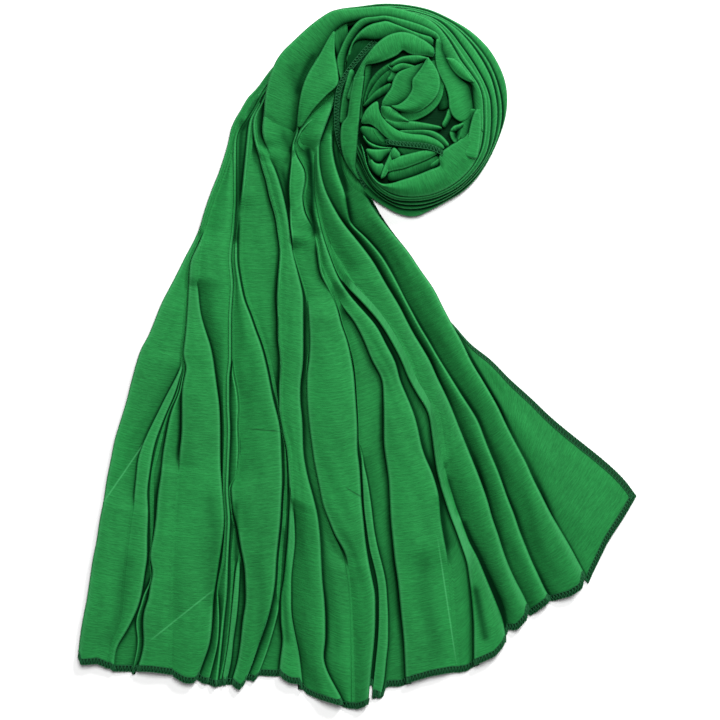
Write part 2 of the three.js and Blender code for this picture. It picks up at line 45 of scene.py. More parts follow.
# The lines along which the cloth turns, left to right, as read: (x, y) on the board
FOLDS = {
    "SL": [(327, 20), (319, 28), (300, 42), (284, 56), (270, 71), (257, 88.5), (248, 98), (241, 110), (235, 120), (231, 130), (229, 140), (220, 170), (212, 190), (205, 210), (199, 230), (184, 260), (174, 280), (162, 303), (149, 335), (141, 350), (132, 380), (127, 400), (121, 420), (115, 440), (111, 460), (107, 480), (104, 500), (100, 520), (97, 540), (93, 560), (90, 580), (87, 600), (83, 620), (80, 640), (78, 658)],
    "S1L": [(184, 340), (181, 366), (175, 380), (168, 393), (157, 415), (145, 440), (138, 460), (136, 480), (133, 505), (128, 540), (124, 580), (120, 620), (112, 640), (108, 668)],
    "S1R": [(185, 340), (182, 366), (175, 392), (166, 413), (160, 428), (155, 442), (152, 455), (150, 468), (147, 495), (148, 510), (147, 540), (147, 556), (145, 570), (142, 590), (139, 603), (128, 628), (116, 650), (114, 671)],
    "M1": [(186, 340), (178, 390), (168, 413), (158, 450), (152, 480), (152, 520), (151, 556), (151, 578), (141, 600), (136, 625), (138, 640), (132, 674)],
    "S2": [(187, 340), (180, 390), (171, 413), (166, 437), (163, 455), (161, 475), (158, 495), (156, 520), (153, 540), (150, 555), (151, 570), (149, 597), (144, 612), (143, 625), (144, 640), (140, 662), (136, 671)],
    "L1": [(203, 215), (196, 240), (190, 265), (189, 280), (188, 300), (186, 330), (183, 355), (182, 370), (182, 400), (182, 430), (180, 450), (178, 470), (174, 520), (171, 580), (170, 674)],
    "L2": [(198, 260), (198, 285), (200, 310), (205, 330), (210, 345), (213, 360), (215, 375), (217, 390), (219, 405), (220, 430), (220, 460), (222, 490), (224, 520), (222, 540), (219, 560), (216, 580), (213, 600), (212, 620), (210, 640), (203, 662), (197, 678)],
    "C1": [(224, 560), (218, 590), (219, 620), (218, 640), (213, 663), (208, 683)],
    "p": [(327, 22), (318, 32), (299, 47), (284, 62), (268, 80), (260, 95), (254, 107), (247, 118), (240, 128), (236, 140), (236, 200), (235, 215), (234, 230), (232, 245), (231, 260), (233, 285), (232, 300), (231, 320), (231, 340), (231, 362), (229, 375), (229, 405), (230, 430), (229, 460), (228, 490), (230, 520), (229, 540), (228, 560), (227, 590), (224, 620), (221, 650), (217, 686)],
    "T1R": [(232, 370), (237, 395), (238, 410), (237, 425), (238, 450), (236, 480), (236, 500), (234, 530), (233, 560), (231, 600), (226, 650), (219, 685)],
    "C3L": [(239, 555), (236, 570), (234, 590), (231, 620), (229, 640), (226, 660), (222, 682)],
    "C3R": [(240, 560), (238, 600), (236, 620), (233, 640), (231, 660), (226, 682)],
    "DL": [(229, 480), (231, 500), (238, 530), (241, 548), (245, 570), (246, 600), (243, 620), (241, 640), (238, 660), (231, 684)],
    "L4": [(328, 23), (319, 34), (301, 49), (286, 64), (271, 79), (263, 94), (257, 106), (250, 118), (248, 130), (246, 150), (244, 170), (242, 190), (240, 205), (238, 220), (237, 240), (237, 260), (239, 275), (244, 300), (250, 315), (255, 330), (260, 343), (264, 357), (267, 370), (270, 385), (273, 400), (277, 415), (280, 430), (281, 450), (282, 480), (281, 500), (280, 520), (278, 540), (276, 560), (275, 580), (272, 600), (269, 613), (265, 627), (260, 640), (255, 655), (246, 677)],
    "E1": [(278, 590), (279, 605), (276, 620), (272, 635), (268, 648), (259, 672), (256, 678)],
    "L5": [(329, 24), (320, 36), (302, 50), (287, 65), (272, 80), (262, 95), (256, 107), (253, 118), (253, 130), (255, 142), (259, 155), (262, 168), (266, 180), (269, 195), (276, 220), (278, 235), (280, 250), (278, 280), (277, 300), (278, 320), (278, 340), (280, 355), (280, 370), (279, 390), (279, 410), (282, 430), (286, 445), (288, 460), (289, 480), (290, 500), (289, 520), (288, 540), (286, 560), (284, 580), (281, 600), (281, 620), (283, 640), (281, 655), (279, 675)],
    "FG": [(293, 500), (294, 520), (295, 540), (293, 560), (291, 580), (291, 610), (293, 625), (296, 640), (299, 655), (303, 689)],
    "L6": [(330, 25), (322, 38), (305, 47), (287, 55), (271, 70), (269, 80), (267, 90), (265, 100), (264, 115), (262, 130), (265, 143), (270, 157), (275, 170), (280, 185), (284, 200), (287, 215), (290, 235), (292, 250), (298, 275), (303, 300), (303, 340), (303, 355), (302, 370), (300, 385), (300, 400), (302, 420), (303, 450), (307, 475), (311, 490), (315, 505), (318, 520), (320, 540), (321, 560), (322, 580), (324, 600), (325, 620), (325, 640), (323, 655), (344, 704)],
    "vu": [(332, 24), (325, 42), (317, 57), (311, 70), (306, 82), (302, 95), (299, 108), (297, 120), (297, 130), (292, 146), (291.5, 160), (290, 175), (289, 190), (290, 210), (290, 240), (296, 262), (303, 285), (307, 300), (309.5, 340), (307, 365), (306, 390), (309, 420), (313, 455), (317, 480), (324, 510), (335, 540), (345, 570), (349, 600), (350, 650), (350, 708)],
    "L7": [(308, 300), (309, 320), (310, 340), (309, 362), (307, 375), (307, 390), (308, 410), (310, 430), (312, 445), (314, 460), (317, 475), (320, 490), (323, 505), (329, 520), (335, 535), (346, 555), (352, 620), (354, 708)],
    "L8": [(334, 30), (335, 60), (335, 90), (330, 101), (322, 110), (311, 119.5), (301, 128), (294.5, 138), (293.5, 147), (297, 158), (305, 172), (305, 182), (302, 195), (304, 212), (313, 230), (317, 250), (320, 272), (330, 292), (338, 312), (341, 325), (346, 338), (352, 365), (354, 380), (355, 395), (356, 410), (357, 430), (357, 450), (359, 465), (360, 480), (361, 500), (363, 520), (365, 540), (368, 560), (372, 580), (375, 597), (375, 620), (374, 640), (372, 660), (370, 680), (368, 704)],
    "IL": [(359, 440), (361, 455), (362, 470), (363, 485), (364, 505), (367, 530), (370, 550), (374, 565), (378, 585), (379, 600), (379, 620), (378, 640), (376, 660), (374, 680), (372, 698)],
    "IR": [(358, 440), (360, 455), (365, 470), (368, 485), (371, 505), (374, 530), (378, 550), (382, 565), (386, 585), (387, 600), (388, 620), (388, 640), (386, 660), (384, 680), (380, 698)],
    "L9": [(337, 302), (352, 318), (363, 338), (372, 360), (383, 383), (384, 420), (384, 440), (387, 465), (389, 480), (390, 500), (391, 520), (393, 540), (395, 560), (398, 580), (400, 600), (402, 620), (404, 640), (405, 660), (406, 683)],
    "L10": [(314, 160), (314, 190), (317, 210), (320, 225), (324, 240), (329, 255), (339, 280), (350, 296), (363, 311), (376, 326), (386, 345), (396, 365), (399, 378), (409, 402), (414, 415), (418, 430), (421, 445), (426, 460), (432, 473), (439, 500), (440, 515), (443, 535), (446, 550), (449, 565), (452, 600), (455, 640), (458, 672)],
    "L11": [(343, 283), (360, 300), (380, 323), (395, 348), (402, 362), (408, 377), (416, 392), (429, 415), (432, 435), (434, 450), (436, 465), (439, 480), (445, 500), (450, 515), (456, 530), (462, 547), (467, 562), (469, 575), (471, 590), (473, 610), (474, 628), (474, 665)],
    "l2": [(444, 455), (448, 480), (453, 497), (457, 512), (461.5, 526), (467.7, 540), (477, 557), (486, 578.5), (495.4, 601.5), (503, 622), (506, 642)],
    "L12": [(334, 20), (334, 50), (336, 60), (338, 75), (337, 90), (333, 105), (328, 118), (323, 132), (319, 145), (319, 160), (321, 175), (325, 190), (331, 203), (342, 222), (358, 242), (373, 262), (385, 283), (400, 308), (407, 322), (414, 335), (422, 348), (430, 362), (437, 378), (444, 392), (450, 405), (458, 425), (468, 450), (478, 475), (487, 500), (492, 518), (498, 535), (502, 548), (507, 562), (515, 580), (522, 593), (530, 610)],
    "L13": [(332, 130), (332, 145), (334, 160), (337, 172), (341, 183), (345, 195), (350, 222), (365, 237), (382, 257), (398, 285), (405, 299), (413, 314), (420, 327), (428, 340), (436, 354), (452, 380), (460, 393), (478, 422), (483, 435), (488, 448), (498, 472), (508, 500), (514, 515), (519, 530), (525, 545), (531, 560), (538, 575), (545, 590), (551, 600)],
    "L14": [(360, 188), (367, 198), (378, 215), (392, 233), (408, 252), (420, 270), (434, 290), (444, 310), (452, 325), (463, 345), (470, 360), (485, 385), (498, 408), (506, 425), (519, 450), (526, 463), (532, 477), (541, 495), (550, 513), (560, 530), (570, 547), (578, 562), (586, 577)],
    "L15": [(384, 30), (378, 45), (368, 56), (358, 67), (349, 78), (343.5, 87), (339.8, 97), (338.6, 110), (338.6, 125), (340.4, 140), (345, 152), (351, 163), (357.5, 173), (364, 184), (369, 194), (381, 225), (404, 260), (424, 290), (438, 311), (452, 324), (470, 344), (490, 360), (510, 380), (530, 398), (550, 417), (622, 478), (636, 496)],
}

# Which way each fold's upper layer looks along its length: 1 right, -1 left, 0 flat cloth: (y, way)
WAYS = {
    "SL": [(0, -1)],
    "L1": [(228, 0), (246, -1), (448, -1), (475, 0)],
    "S1L": [(358, 0), (374, -1), (488, -1), (508, -0.2)],
    "S1R": [(358, 0), (374, 1), (636, 1), (655, 0.5)],
    "M1": [(568, 0), (585, -1)],
    "S2": [(366, 0), (382, -1)],
    "L2": [(276, 0), (296, 1)],
    "C1": [(585, 0), (600, 1)],
    "p": [(0, 1)],
    "T1R": [(366, 0), (380, 1), (458, 1), (480, 0)],
    "C3L": [(552, 0), (566, -1)],
    "C3R": [(556, 0), (572, 1)],
    "DL": [(476, 0), (496, -1)],
    "L4": [(98, 0), (116, -1), (188, -1), (236, 1)],
    "E1": [(598, 0), (614, 1)],
    "L5": [(70, 0), (90, -1)],
    "FG": [(496, 0), (520, 1)],
    "L6": [(30, -0.5), (60, -1), (136, -1), (172, 1)],
    "vu": [(20, -1), (232, -1), (250, 0)],
    "L7": [(298, 0), (314, -1), (548, -1), (572, 0)],
    "L8": [(92, 0), (108, -0.9), (136, -0.9), (160, 1), (216, 1), (254, -1), (276, -1), (318, 1)],
    "IL": [(448, 0), (468, -1)],
    "IR": [(448, 0), (468, 1)],
    "L9": [(298, 0), (314, -1)],
    "L10": [(152, 0), (166, 1), (542, 1), (572, 0)],
    "L11": [(279, 0), (296, -1)],
    "l2": [(452, 0), (482, 0.55), (522, 1)],
    "L12": [(0, 1)],
    "L13": [(126, 0), (138, 1)],
    "L14": [(192, 0), (204, 1)],
    "L15": [(0, 0)],
}
# How high each fold stands and how far its layer goes back under: (height, tuck)
BODY = {
    "SL": (9, 15), "L1": (9.5, 9), "S1L": (8, 8), "S1R": (8.5, 8), "M1": (7, 6), "S2": (9, 8), "L2": (9.5, 9),
    "C1": (8, 7), "p": (13, 13), "T1R": (7, 6), "C3L": (6.5, 5), "C3R": (7, 6), "DL": (9, 8), "L4": (11, 9),
    "E1": (8, 7), "L5": (11, 10), "FG": (9, 8), "L6": (13, 12), "vu": (14, 9), "L7": (9, 8), "L8": (12, 11),
    "IL": (7, 6), "IR": (8, 7), "L9": (10, 9), "L10": (12, 11), "L11": (11, 9), "l2": (10, 7), "L12": (14, 13),
    "L13": (14, 13), "L14": (14, 14), "L15": (1.2, 4),
}
# The line that a fold starts from, before it parts from it
FROM = {
    "L1": "SL", "S1L": "L1", "S1R": "L1", "M1": "L1", "S2": "L1", "L2": "L1", "C1": "p", "T1R": "p", "C3L": "DL",
    "C3R": "DL", "DL": "p", "E1": "L4", "FG": "L5", "L7": "vu", "IL": "L8", "IR": "L8", "L9": "L8", "L10": "L12",
    "L11": "L12", "l2": "L11", "L13": "L12", "L14": "L13",
}
# The outline of the hem from left to right: (x, y)
HEM = [
    (78, 658), (80, 665), (97, 663.5), (115, 671), (136, 671), (150, 671.5), (170, 674), (178, 679), (185, 683), (193, 683), (197, 679),
    (203, 683), (209, 684), (217, 687), (231, 684), (239, 690), (245, 683), (249, 679), (253, 682), (258, 675), (279, 676),
    (290, 683), (302, 684), (306, 693), (320, 699), (345, 707), (357, 709), (367.5, 705), (369, 685), (372, 683), (373.5, 695), (381, 698), (383.5, 696), (386, 686), (400, 686),
    (413, 681), (430, 676), (452, 672), (466, 671), (475, 665), (495, 656), (504, 645), (508, 629), (517, 630), (532, 614),
    (536, 612), (551, 601), (570, 596), (587, 586), (592, 574), (608, 541), (625, 515), (636, 496),
]
NAMES = list(FOLDS)
TOP = 33.0


def smooth(t):
    t = np.clip(t, 0, 1)
    return t * t * (3 - 2 * t)


def eased(y, points):
    """A curve through points (y, x), without kinks and without overshoot."""
    py = np.array([p[0] for p in points], float)
    px = np.array([p[1] for p in points], float)
    h = np.diff(py)
    d = np.diff(px) / h
    m = np.empty(len(px))
    m[0], m[-1] = d[0], d[-1]
    if len(px) > 2:
        same = d[:-1] * d[1:] > 0
        m[1:-1] = np.where(same, 2 * d[:-1] * d[1:] / np.where(same, d[:-1] + d[1:], 1), 0)
    y = np.asarray(y, float)
    k = np.clip(np.searchsorted(py, y) - 1, 0, len(h) - 1)
    t = (y - py[k]) / h[k]
    out = ((2 * t**3 - 3 * t**2 + 1) * px[k] + (t**3 - 2 * t**2 + t) * h[k] * m[k]
           + (-2 * t**3 + 3 * t**2) * px[k + 1] + (t**3 - t**2) * h[k] * m[k + 1])
    return np.where(y < py[0], px[0], np.where(y > py[-1], px[-1] + (y - py[-1]) * m[-1], out))


def fold_x(name, y):
    pts = [(q[1], q[0]) for q in FOLDS[name]]
    own = eased(y, pts)
    if name in FROM:
        first = pts[0][0]
        lead = fold_x(FROM[name], np.array([first]))[0]
        own = np.where(y < first, fold_x(FROM[name], y) + pts[0][1] - lead, own)
    return own


def waves(a, b, seed, n=6, low=0.6, high=2.2):
    """Gentle unevenness from a few long waves; a and b in turns."""
    rng = np.random.default_rng(seed)
    out = 0
    for _ in range(n):
        fa, fb = rng.uniform(low, high, 2) * rng.choice([-1, 1], 2)
        out = out + np.sin(2 * math.pi * (fa * a + fb * b) + rng.uniform(0, 6.3)) * rng.uniform(0.5, 1)
    return out / n


def place(x, y, z):
    """Board points to the scarf's own frame. What stands higher is drawn in towards the middle of the view, as seen from above."""
    k = 1 - z / EYE_UP
    x = EYE_X + (x - EYE_X) * k
    y = EYE_Y + (y - EYE_Y) * k
    return np.stack([x - BOARD_X, BOARD_Y - y, z], -1) / 1000.0


# ---- the fan and the neck: one folded sheet, as rows of points from the neck's top to the hem ----
ROWS = 178
LOW, MID = 0.7, 1.9
t_rows = np.linspace(0, 1, ROWS)
n_folds = len(NAMES)
FX, FY, ACT, HEIGHT = (np.zeros((ROWS, n_folds)) for _ in range(4))
for k, name in enumerate(NAMES):
    end_y = FOLDS[name][-1][1]
    FY[:, k] = TOP + (end_y - TOP) * t_rows
    FX[:, k] = fold_x(name, FY[:, k])
    ways = WAYS[name]
    ACT[:, k] = np.interp(FY[:, k], [w[0] for w in ways], [w[1] for w in ways])
    HEIGHT[:, k] = BODY[name][0]
# flat lines stay between the folds beside them, and folds keep a little apart
for i in range(ROWS):
    on = [k for k in range(n_folds) if abs(ACT[i, k]) > 0.02 or k in (0, n_folds - 1)]
    for a, b in zip(on, on[1:]):
        least = 1.8 + 0.5 * (b - a - 1)
        if FX[i, b] < FX[i, a] + least and b != n_folds - 1:
            FX[i, b] = FX[i, a] + least
        gap = min(0.7, max(FX[i, b] - FX[i, a], 0.5) / (b - a + 1))
        for k in range(a + 1, b):
            lo, hi = FX[i, a] + gap * (k - a), FX[i, b] - gap * (b - k)
            FX[i, k] = min(max(FX[i, k], lo), max(hi, lo))
edge_room = FX[:, -1] - FX[:, -2]
for k in range(n_folds):
    if 0 < k < n_folds - 1:
        kernel = np.array([1, 2, 3, 2, 1]) / 9
        FX[:, k] = np.convolve(np.pad(FX[:, k], 2, mode="edge"), kernel, "valid")
way = np.sign(ACT)
amount = smooth(np.abs(ACT))

# how upright each line runs, for distances square to it
UPRIGHT = 1 / np.hypot(1, np.gradient(FX, axis=0) / np.gradient(FY, axis=0))

# how much room a turn has on its own side
room_left = np.empty_like(FX)
room_left[:, 0] = 30
room_left[:, 1:] = np.diff(FX, axis=1)
room_right = np.empty_like(FX)
room_right[:, -1] = 30
room_right[:, :-1] = np.diff(FX, axis=1)


def room(side):
    """Distance to the next line on that side that isn't flat."""
    out = np.full_like(FX, 60.0)
    for i in range(ROWS):
        live = np.where(np.abs(ACT[i]) > 0.25)[0]
        live = np.union1d(live, [0, n_folds - 1])
        for k in range(n_folds):
            if side > 0:
                near = live[live > k]
                out[i, k] = FX[i, near[0]] - FX[i, k] if len(near) else 60
            else:
                near = live[live < k]
                out[i, k] = FX[i, k] - FX[i, near[-1]] if len(near) else 60
    return out


ROOM_L, ROOM_R = room(-1), room(1)
tuck_of = np.array([BODY[n][1] for n in NAMES])[None, :] * 0.55
ROOM = np.where(way > 0, ROOM_L, ROOM_R)
TUCK = np.clip(np.minimum(tuck_of, 0.55 * ROOM), 2.0, None)
uneven = 1 + 0.22 * waves(t_rows[:, None] * 2.0, np.arange(n_folds)[None, :] * 0.37, 11, n=7, low=0.8, high=2.6)
HEIGHT = HEIGHT * uneven * np.clip(0.34 + 0.66 * ROOM / 30.0, 0.34, 1.0)
HEIGHT = np.maximum(HEIGHT, 3.8)
in_neck = 1 - smooth((FY - 120) / 160)
HEIGHT = HEIGHT * (1 - 0.12 * in_neck)
HEIGHT = HEIGHT * (1 - 0.22 * smooth((t_rows[:, None] - 0.93) / 0.07))
HEIGHT[:, -1] = 1.0

# levels of the cloth on each side of a line
high = HEIGHT
ZL = np.where(way > 0, high, LOW)
ZR = np.where(way > 0, LOW, high)
FLAT = np.full_like(FX, 2.0)
for _ in range(8):
    left = np.concatenate([np.full((ROWS, 1), LOW), (amount * ZR + (1 - amount) * FLAT)[:, :-1]], 1)
    right = np.concatenate([(amount * ZL + (1 - amount) * FLAT)[:, 1:], np.full((ROWS, 1), LOW)], 1)
    share = room_left / (room_left + room_right)
    FLAT = left + (right - left) * np.clip(share, 0.05, 0.95)
LEVEL_L = amount * ZL + (1 - amount) * FLAT
LEVEL_R = amount * ZR + (1 - amount) * FLAT
LEVEL_L[:, -1] = LOW + 0.3

# the ten points of each fold
RN = (HEIGHT - MID) / 2
RN = np.clip(np.minimum(RN, 0.42 * ROOM), 0.6, None)
RB = 0.6
RX = np.minimum(RN, 1.5)
PTS = 10
fold_dx = np.zeros((ROWS, n_folds, PTS))
fold_z = np.zeros((ROWS, n_folds, PTS))
top = MID + 2 * RN
for j, deg in enumerate((90, 45, 0, -45, -90)):
    c, s = math.cos(math.radians(deg)), math.sin(math.radians(deg))
    fold_dx[:, :, j] = -RX + RX * c
    fold_z[:, :, j] = HEIGHT - RN + RN * s
span = np.clip(TUCK - RX - RB, 0.8, None)
low_nose = HEIGHT - 2 * RN
fold_dx[:, :, 5] = -RX - span * 0.35
fold_z[:, :, 5] = low_nose * 0.5 + MID * 0.5
fold_dx[:, :, 6] = -RX - span * 0.75
fold_z[:, :, 6] = MID
fold_dx[:, :, 7] = -RX - span
fold_z[:, :, 7] = MID
fold_dx[:, :, 8] = -RX - span - RB
fold_z[:, :, 8] = (MID + LOW) / 2
fold_dx[:, :, 9] = -RX - span
fold_z[:, :, 9] = LOW
# painted light on each fold: a painted highlight on its top (negative values), painted shade on its underside and on
# the part that goes back under
fold_painted_light = np.broadcast_to(np.array([-0.34, -0.12, 0.85, 1, 1, 1, 1, 1, 1, 1.0])[None, None, :], (ROWS, n_folds, PTS))
mirror = way < 0
fold_painted_light = np.where(mirror[:, :, None], fold_painted_light[:, :, ::-1], fold_painted_light) * amount[:, :, None]
fold_dx = np.where(mirror[:, :, None], -fold_dx[:, :, ::-1], fold_dx)
fold_z = np.where(mirror[:, :, None], fold_z[:, :, ::-1], fold_z)
spread = np.clip(np.minimum(ROOM_L, ROOM_R) / 12, 0.12, 0.5)
flat_dx = (np.arange(PTS) - 4.5)[None, None, :] * np.clip(np.minimum(room_left, room_right) / 12, 0.06, 0.5)[:, :, None]
w = amount[:, :, None]
fold_dx = w * fold_dx + (1 - w) * flat_dx
fold_z = w * fold_z + (1 - w) * FLAT[:, :, None]

# the panels between the folds
widest = (FX[:, 1:] - FX[:, :-1]).max(0)
panel_n = np.clip(np.round(widest / 2.7).astype(int), 5, 32)
hem_x = np.array([q[0] for q in HEM])
hem_y = np.array([q[1] for q in HEM])
columns_x, columns_y, columns_z, columns_painted_light = [], [], [], []
where_fold = []
for k in range(n_folds):
    where_fold.append(sum(c.shape[1] for c in columns_x))
    if k < n_folds - 1:
        columns_x.append(FX[:, k, None] + fold_dx[:, k])
        columns_y.append(np.repeat(FY[:, k, None], PTS, 1))
        columns_z.append(fold_z[:, k])
        columns_painted_light.append(fold_painted_light[:, k])
    else:
        columns_x.append(FX[:, k, None])
        columns_y.append(FY[:, k, None])
        columns_z.append(LEVEL_L[:, k, None])
        columns_painted_light.append(np.zeros((ROWS, 1)))
        break
    n = panel_n[k]
    u = (np.arange(n) + 1.0) / (n + 1)
    xa = FX[:, k] + fold_dx[:, k, -1]
    xb = FX[:, k + 1] + (fold_dx[:, k + 1, 0] if k + 1 < n_folds - 1 else 0)
    u = 0.27 * u + 0.73 * (0.5 - 0.5 * np.cos(math.pi * u))
    right_low = np.where((way[:, k] > 0), amount[:, k], 0)
    left_low = np.where((way[:, k + 1] < 0), amount[:, k + 1], 0)
    xs = xa + (FX[:, k] + 0.4 - xa) * right_low
    xe = xb + (FX[:, k + 1] - 0.4 - xb) * left_low
    x = xs[:, None] + (xe - xs)[:, None] * u[None, :]
    q = np.clip((x - xs[:, None]) / np.maximum(xe - xs, 1.0)[:, None], 0, 1)
    s = 0.22 * q + 0.78 * smooth(q ** 0.85)
    y = FY[:, k, None] + (FY[:, k + 1] - FY[:, k])[:, None] * u[None, :]
    width = np.maximum(xe - xs, 1.0)[:, None]
    if k == n_folds - 2:
        q = np.repeat(u[None, :], ROWS, 0)
        s = 0.22 * q + 0.78 * smooth(q ** 0.85)
        width = np.hypot(xe - xs, FY[:, k + 1] - FY[:, k])[:, None]
    za, zb = LEVEL_R[:, k, None], LEVEL_L[:, k + 1, None]
    crown = 4 * q * (1 - q) * np.clip(width * 0.075, 0.2, 3.4)
    lean = waves(t_rows[:, None] * 3.1 + k, q * 0.55, 50 + k, n=6, low=0.5, high=1.9)
    z = za + (zb - za) * s + crown * (0.85 + 0.6 * lean)
    z += 4 * q * (1 - q) * np.clip(width / 40, 0, 1.2) * 2.2 * waves(t_rows[:, None] * 6.0 + 3 * k, q, 90 + k, n=8, low=0.6, high=2.0)
    z = np.maximum(z, LOW)
    off_a = np.clip(x - FX[:, k, None], 0, None) * UPRIGHT[:, k, None]
    off_b = np.clip(FX[:, k + 1, None] - x, 0, None) * UPRIGHT[:, k + 1, None]
    if k == n_folds - 2:
        off_a = np.stack([np.hypot(x[:, j, None] - FX[None, :, k], y[:, j, None] - FY[None, :, k]).min(1) for j in range(n)], 1) - 0.8
        off_a = np.clip(off_a, 0, None)
        off_b = off_b + 99
    thin_a = 2.6 * (1 + 0.45 * waves(t_rows[:, None] * 4.0, 0.13 * k, 910 + k, n=5)) * np.clip(HEIGHT[:, k, None] / 8, 0.7, 1.5)
    thin_b = 2.6 * (1 + 0.45 * waves(t_rows[:, None] * 4.0, 0.13 * k, 960 + k, n=5)) * np.clip(HEIGHT[:, k + 1, None] / 8, 0.7, 1.5)
    # painted shade on a panel where it runs in under the fold beside it, darkest next to the fold
    painted_shade_a = right_low[:, None] * (1 - (1 - np.exp(-(off_a / thin_a) ** 4)) * (1 - 0.50 * np.exp(-off_a / (1.0 + 0.3 * HEIGHT[:, k, None]))))
    painted_shade_b = left_low[:, None] * (1 - (1 - np.exp(-(off_b / thin_b) ** 4)) * (1 - 0.50 * np.exp(-off_b / (1.0 + 0.3 * HEIGHT[:, k + 1, None]))))
    deep = 1 - (1 - painted_shade_a) * (1 - painted_shade_b)
    # painted highlight along the free edge of a fold that lies over the panel
    painted_highlight_a = (1 - right_low[:, None]) * np.where(way[:, k] < 0, amount[:, k], 0)[:, None] * np.exp(-np.clip(x - xa[:, None], 0, None) / 1.3)
    painted_highlight_b = (1 - left_low[:, None]) * np.where(way[:, k + 1] > 0, amount[:, k + 1], 0)[:, None] * np.exp(-np.clip(xb[:, None] - x, 0, None) / 1.3)
    deep = np.clip(deep * (0.9 + 0.35 * waves(t_rows[:, None] * 3.0 + 7 * k, q * 0.3, 700 + k, n=5)), 0, 1)
    # broader painted shade near the folds and over narrow panels
    broad_a = right_low[:, None] * np.exp(-off_a / np.minimum(4 + 0.22 * width, 10))
    broad_b = left_low[:, None] * np.exp(-off_b / np.minimum(4 + 0.22 * width, 10))
    soft_ = 0.12 if k == n_folds - 2 else 0.36
    narrow = np.clip((8.5 - width) / 5, 0, 1) * (k != n_folds - 2) * np.maximum(right_low, left_low)[:, None]
    deep = 1 - (1 - deep) * (1 - soft_ * broad_a) * (1 - soft_ * broad_b) * (1 - 0.5 * narrow)
    columns_painted_light.append(deep - 0.28 * (painted_highlight_a + painted_highlight_b))
    # the hem's outline between two folds
    line = np.interp(x[-1], hem_x, hem_y)
    bulge = np.clip(line - y[-1], -16, 12) * np.clip(8 * np.sin(np.pi * np.clip(u, 0, 1)), 0, 1)
    y = y + bulge[None, :] * smooth((t_rows[:, None] - 0.80) / 0.20)
    columns_x.append(x)
    columns_y.append(y)
    columns_z.append(z)
GX = np.concatenate(columns_x, 1)
GY = np.concatenate(columns_y, 1)
GZ = np.concatenate(columns_z, 1)
# the fan's painted light: painted shade positive, painted highlight negative
PAINTED_LIGHT = np.concatenate(columns_painted_light, 1)
FAN_COLS = GX.shape[1]
print("fan columns", FAN_COLS, "rows", ROWS)

# long creases pressed into the panels: (x0, y0, x1, y1, depth, half width)
CREASES = [
    (104, 500, 145, 440, 1.6, 4.0), (149, 641, 213, 590, 1.5, 4.5), (247, 428, 280, 431, 0.9, 3.0),
    (347, 488, 361, 497, 0.9, 3.0), (205, 470, 214, 560, 0.9, 4.0), (255, 480, 262, 600, 1.0, 5.0),
    (410, 470, 432, 560, 1.1, 5.0), (120, 560, 112, 640, 1.0, 4.0), (330, 600, 338, 690, 1.0, 5.0),
    (420, 520, 430, 640, 1.1, 5.0), (540, 440, 610, 500, 1.3, 6.0), (560, 500, 600, 545, -1.2, 6.0),
    (510, 395, 560, 455, 1.1, 5.0), (180, 560, 186, 660, -0.9, 5.0), (402, 600, 408, 660, 0.8, 4.0),
]
for x0, y0, x1, y1, depth, half in CREASES:
    dx, dy = x1 - x0, y1 - y0
    length = math.hypot(dx, dy)
    along = ((GX - x0) * dx + (GY - y0) * dy) / length**2
    off = ((GX - x0) * dy - (GY - y0) * dx) / length
    shape = np.exp(-(off / half) ** 2) * smooth(1 - np.abs(along - 0.5) / 0.62)
    lift = np.clip((GZ - 2.0) / 2.0, 0, 1)
    GZ = GZ - depth * shape * lift

# the neck climbs over its own hidden folds towards the coil
RISE = [(20, 10), (35, 13), (60, 16.5), (79, 16.5), (108, 13), (140, 7.5), (171, 3.0), (200, 1.0), (240, 0.0)]
rise = np.interp(GY, [r[0] for r in RISE], [r[1] for r in RISE])
left_edge = np.interp(GY, FY[:, 0], FX[:, 0])
right_edge = np.interp(GY, FY[:, -1], FX[:, -1])
across = np.clip((GX - left_edge) / np.maximum(right_edge - left_edge, 8), 0, 1)
dome = np.clip(1 - (1 - across) ** 2.6, 0, 1) * (1 - 0.35 * smooth((across - 0.72) / 0.28))
GZ = np.maximum(GZ + rise * dome, 0.75)

# painted shade in the deep pockets between the layers: (points, half width, strength of the painted shade)
POCKET_SHADE_LINES = [
    ([(308, 150), (311, 165), (312, 190), (312, 214), (314.5, 232)], 3.6, 0.95),
    ([(242, 122), (240.5, 150), (238.5, 180), (237, 210), (236, 240)], 3.2, 0.75),
    ([(283, 172), (286.5, 190), (289, 206)], 2.6, 0.75),
    ([(347, 200), (349, 210), (351, 220)], 3.2, 0.9),
    ([(338, 150), (342, 170), (347, 190)], 2.0, 0.7),
    ([(297, 92), (301, 78), (308, 64), (313, 56)], 3.4, 0.7),
    ([(292, 70), (297, 88)], 6.0, 0.35),
    ([(283, 134), (289, 146)], 4.0, 0.5),
    ([(337, 34), (337, 48), (339, 60)], 3.0, 0.7),
    ([(302, 150), (309, 156)], 3.0, 0.5),
    ([(244, 128), (250, 112), (258, 98)], 2.0, 0.7),
    ([(464, 523), (471.5, 539), (480, 556), (489, 577), (498, 600), (505, 621)], 2.9, 0.96),
    ([(449, 480), (454, 496), (459, 512)], 4.0, 0.5),
    ([(210, 500), (214, 535), (215, 570), (211, 600)], 8.0, 0.30),
    ([(128, 560), (122, 600), (112, 636)], 7.0, 0.25),
    ([(424, 556), (424, 590), (430, 625), (438, 655)], 9.0, 0.30),
    ([(256, 560), (262, 600), (262, 640)], 6.0, 0.25),
    ([(476, 590), (479, 606), (482, 622), (485, 637)], 4.2, 0.72),
    ([(440, 500), (444, 522), (449, 545)], 4.0, 0.45),
    ([(236, 505), (237, 530), (236, 560)], 2.4, 0.6),
    ([(284, 530), (286, 570), (284, 600), (288, 640)], 2.6, 0.5),
]


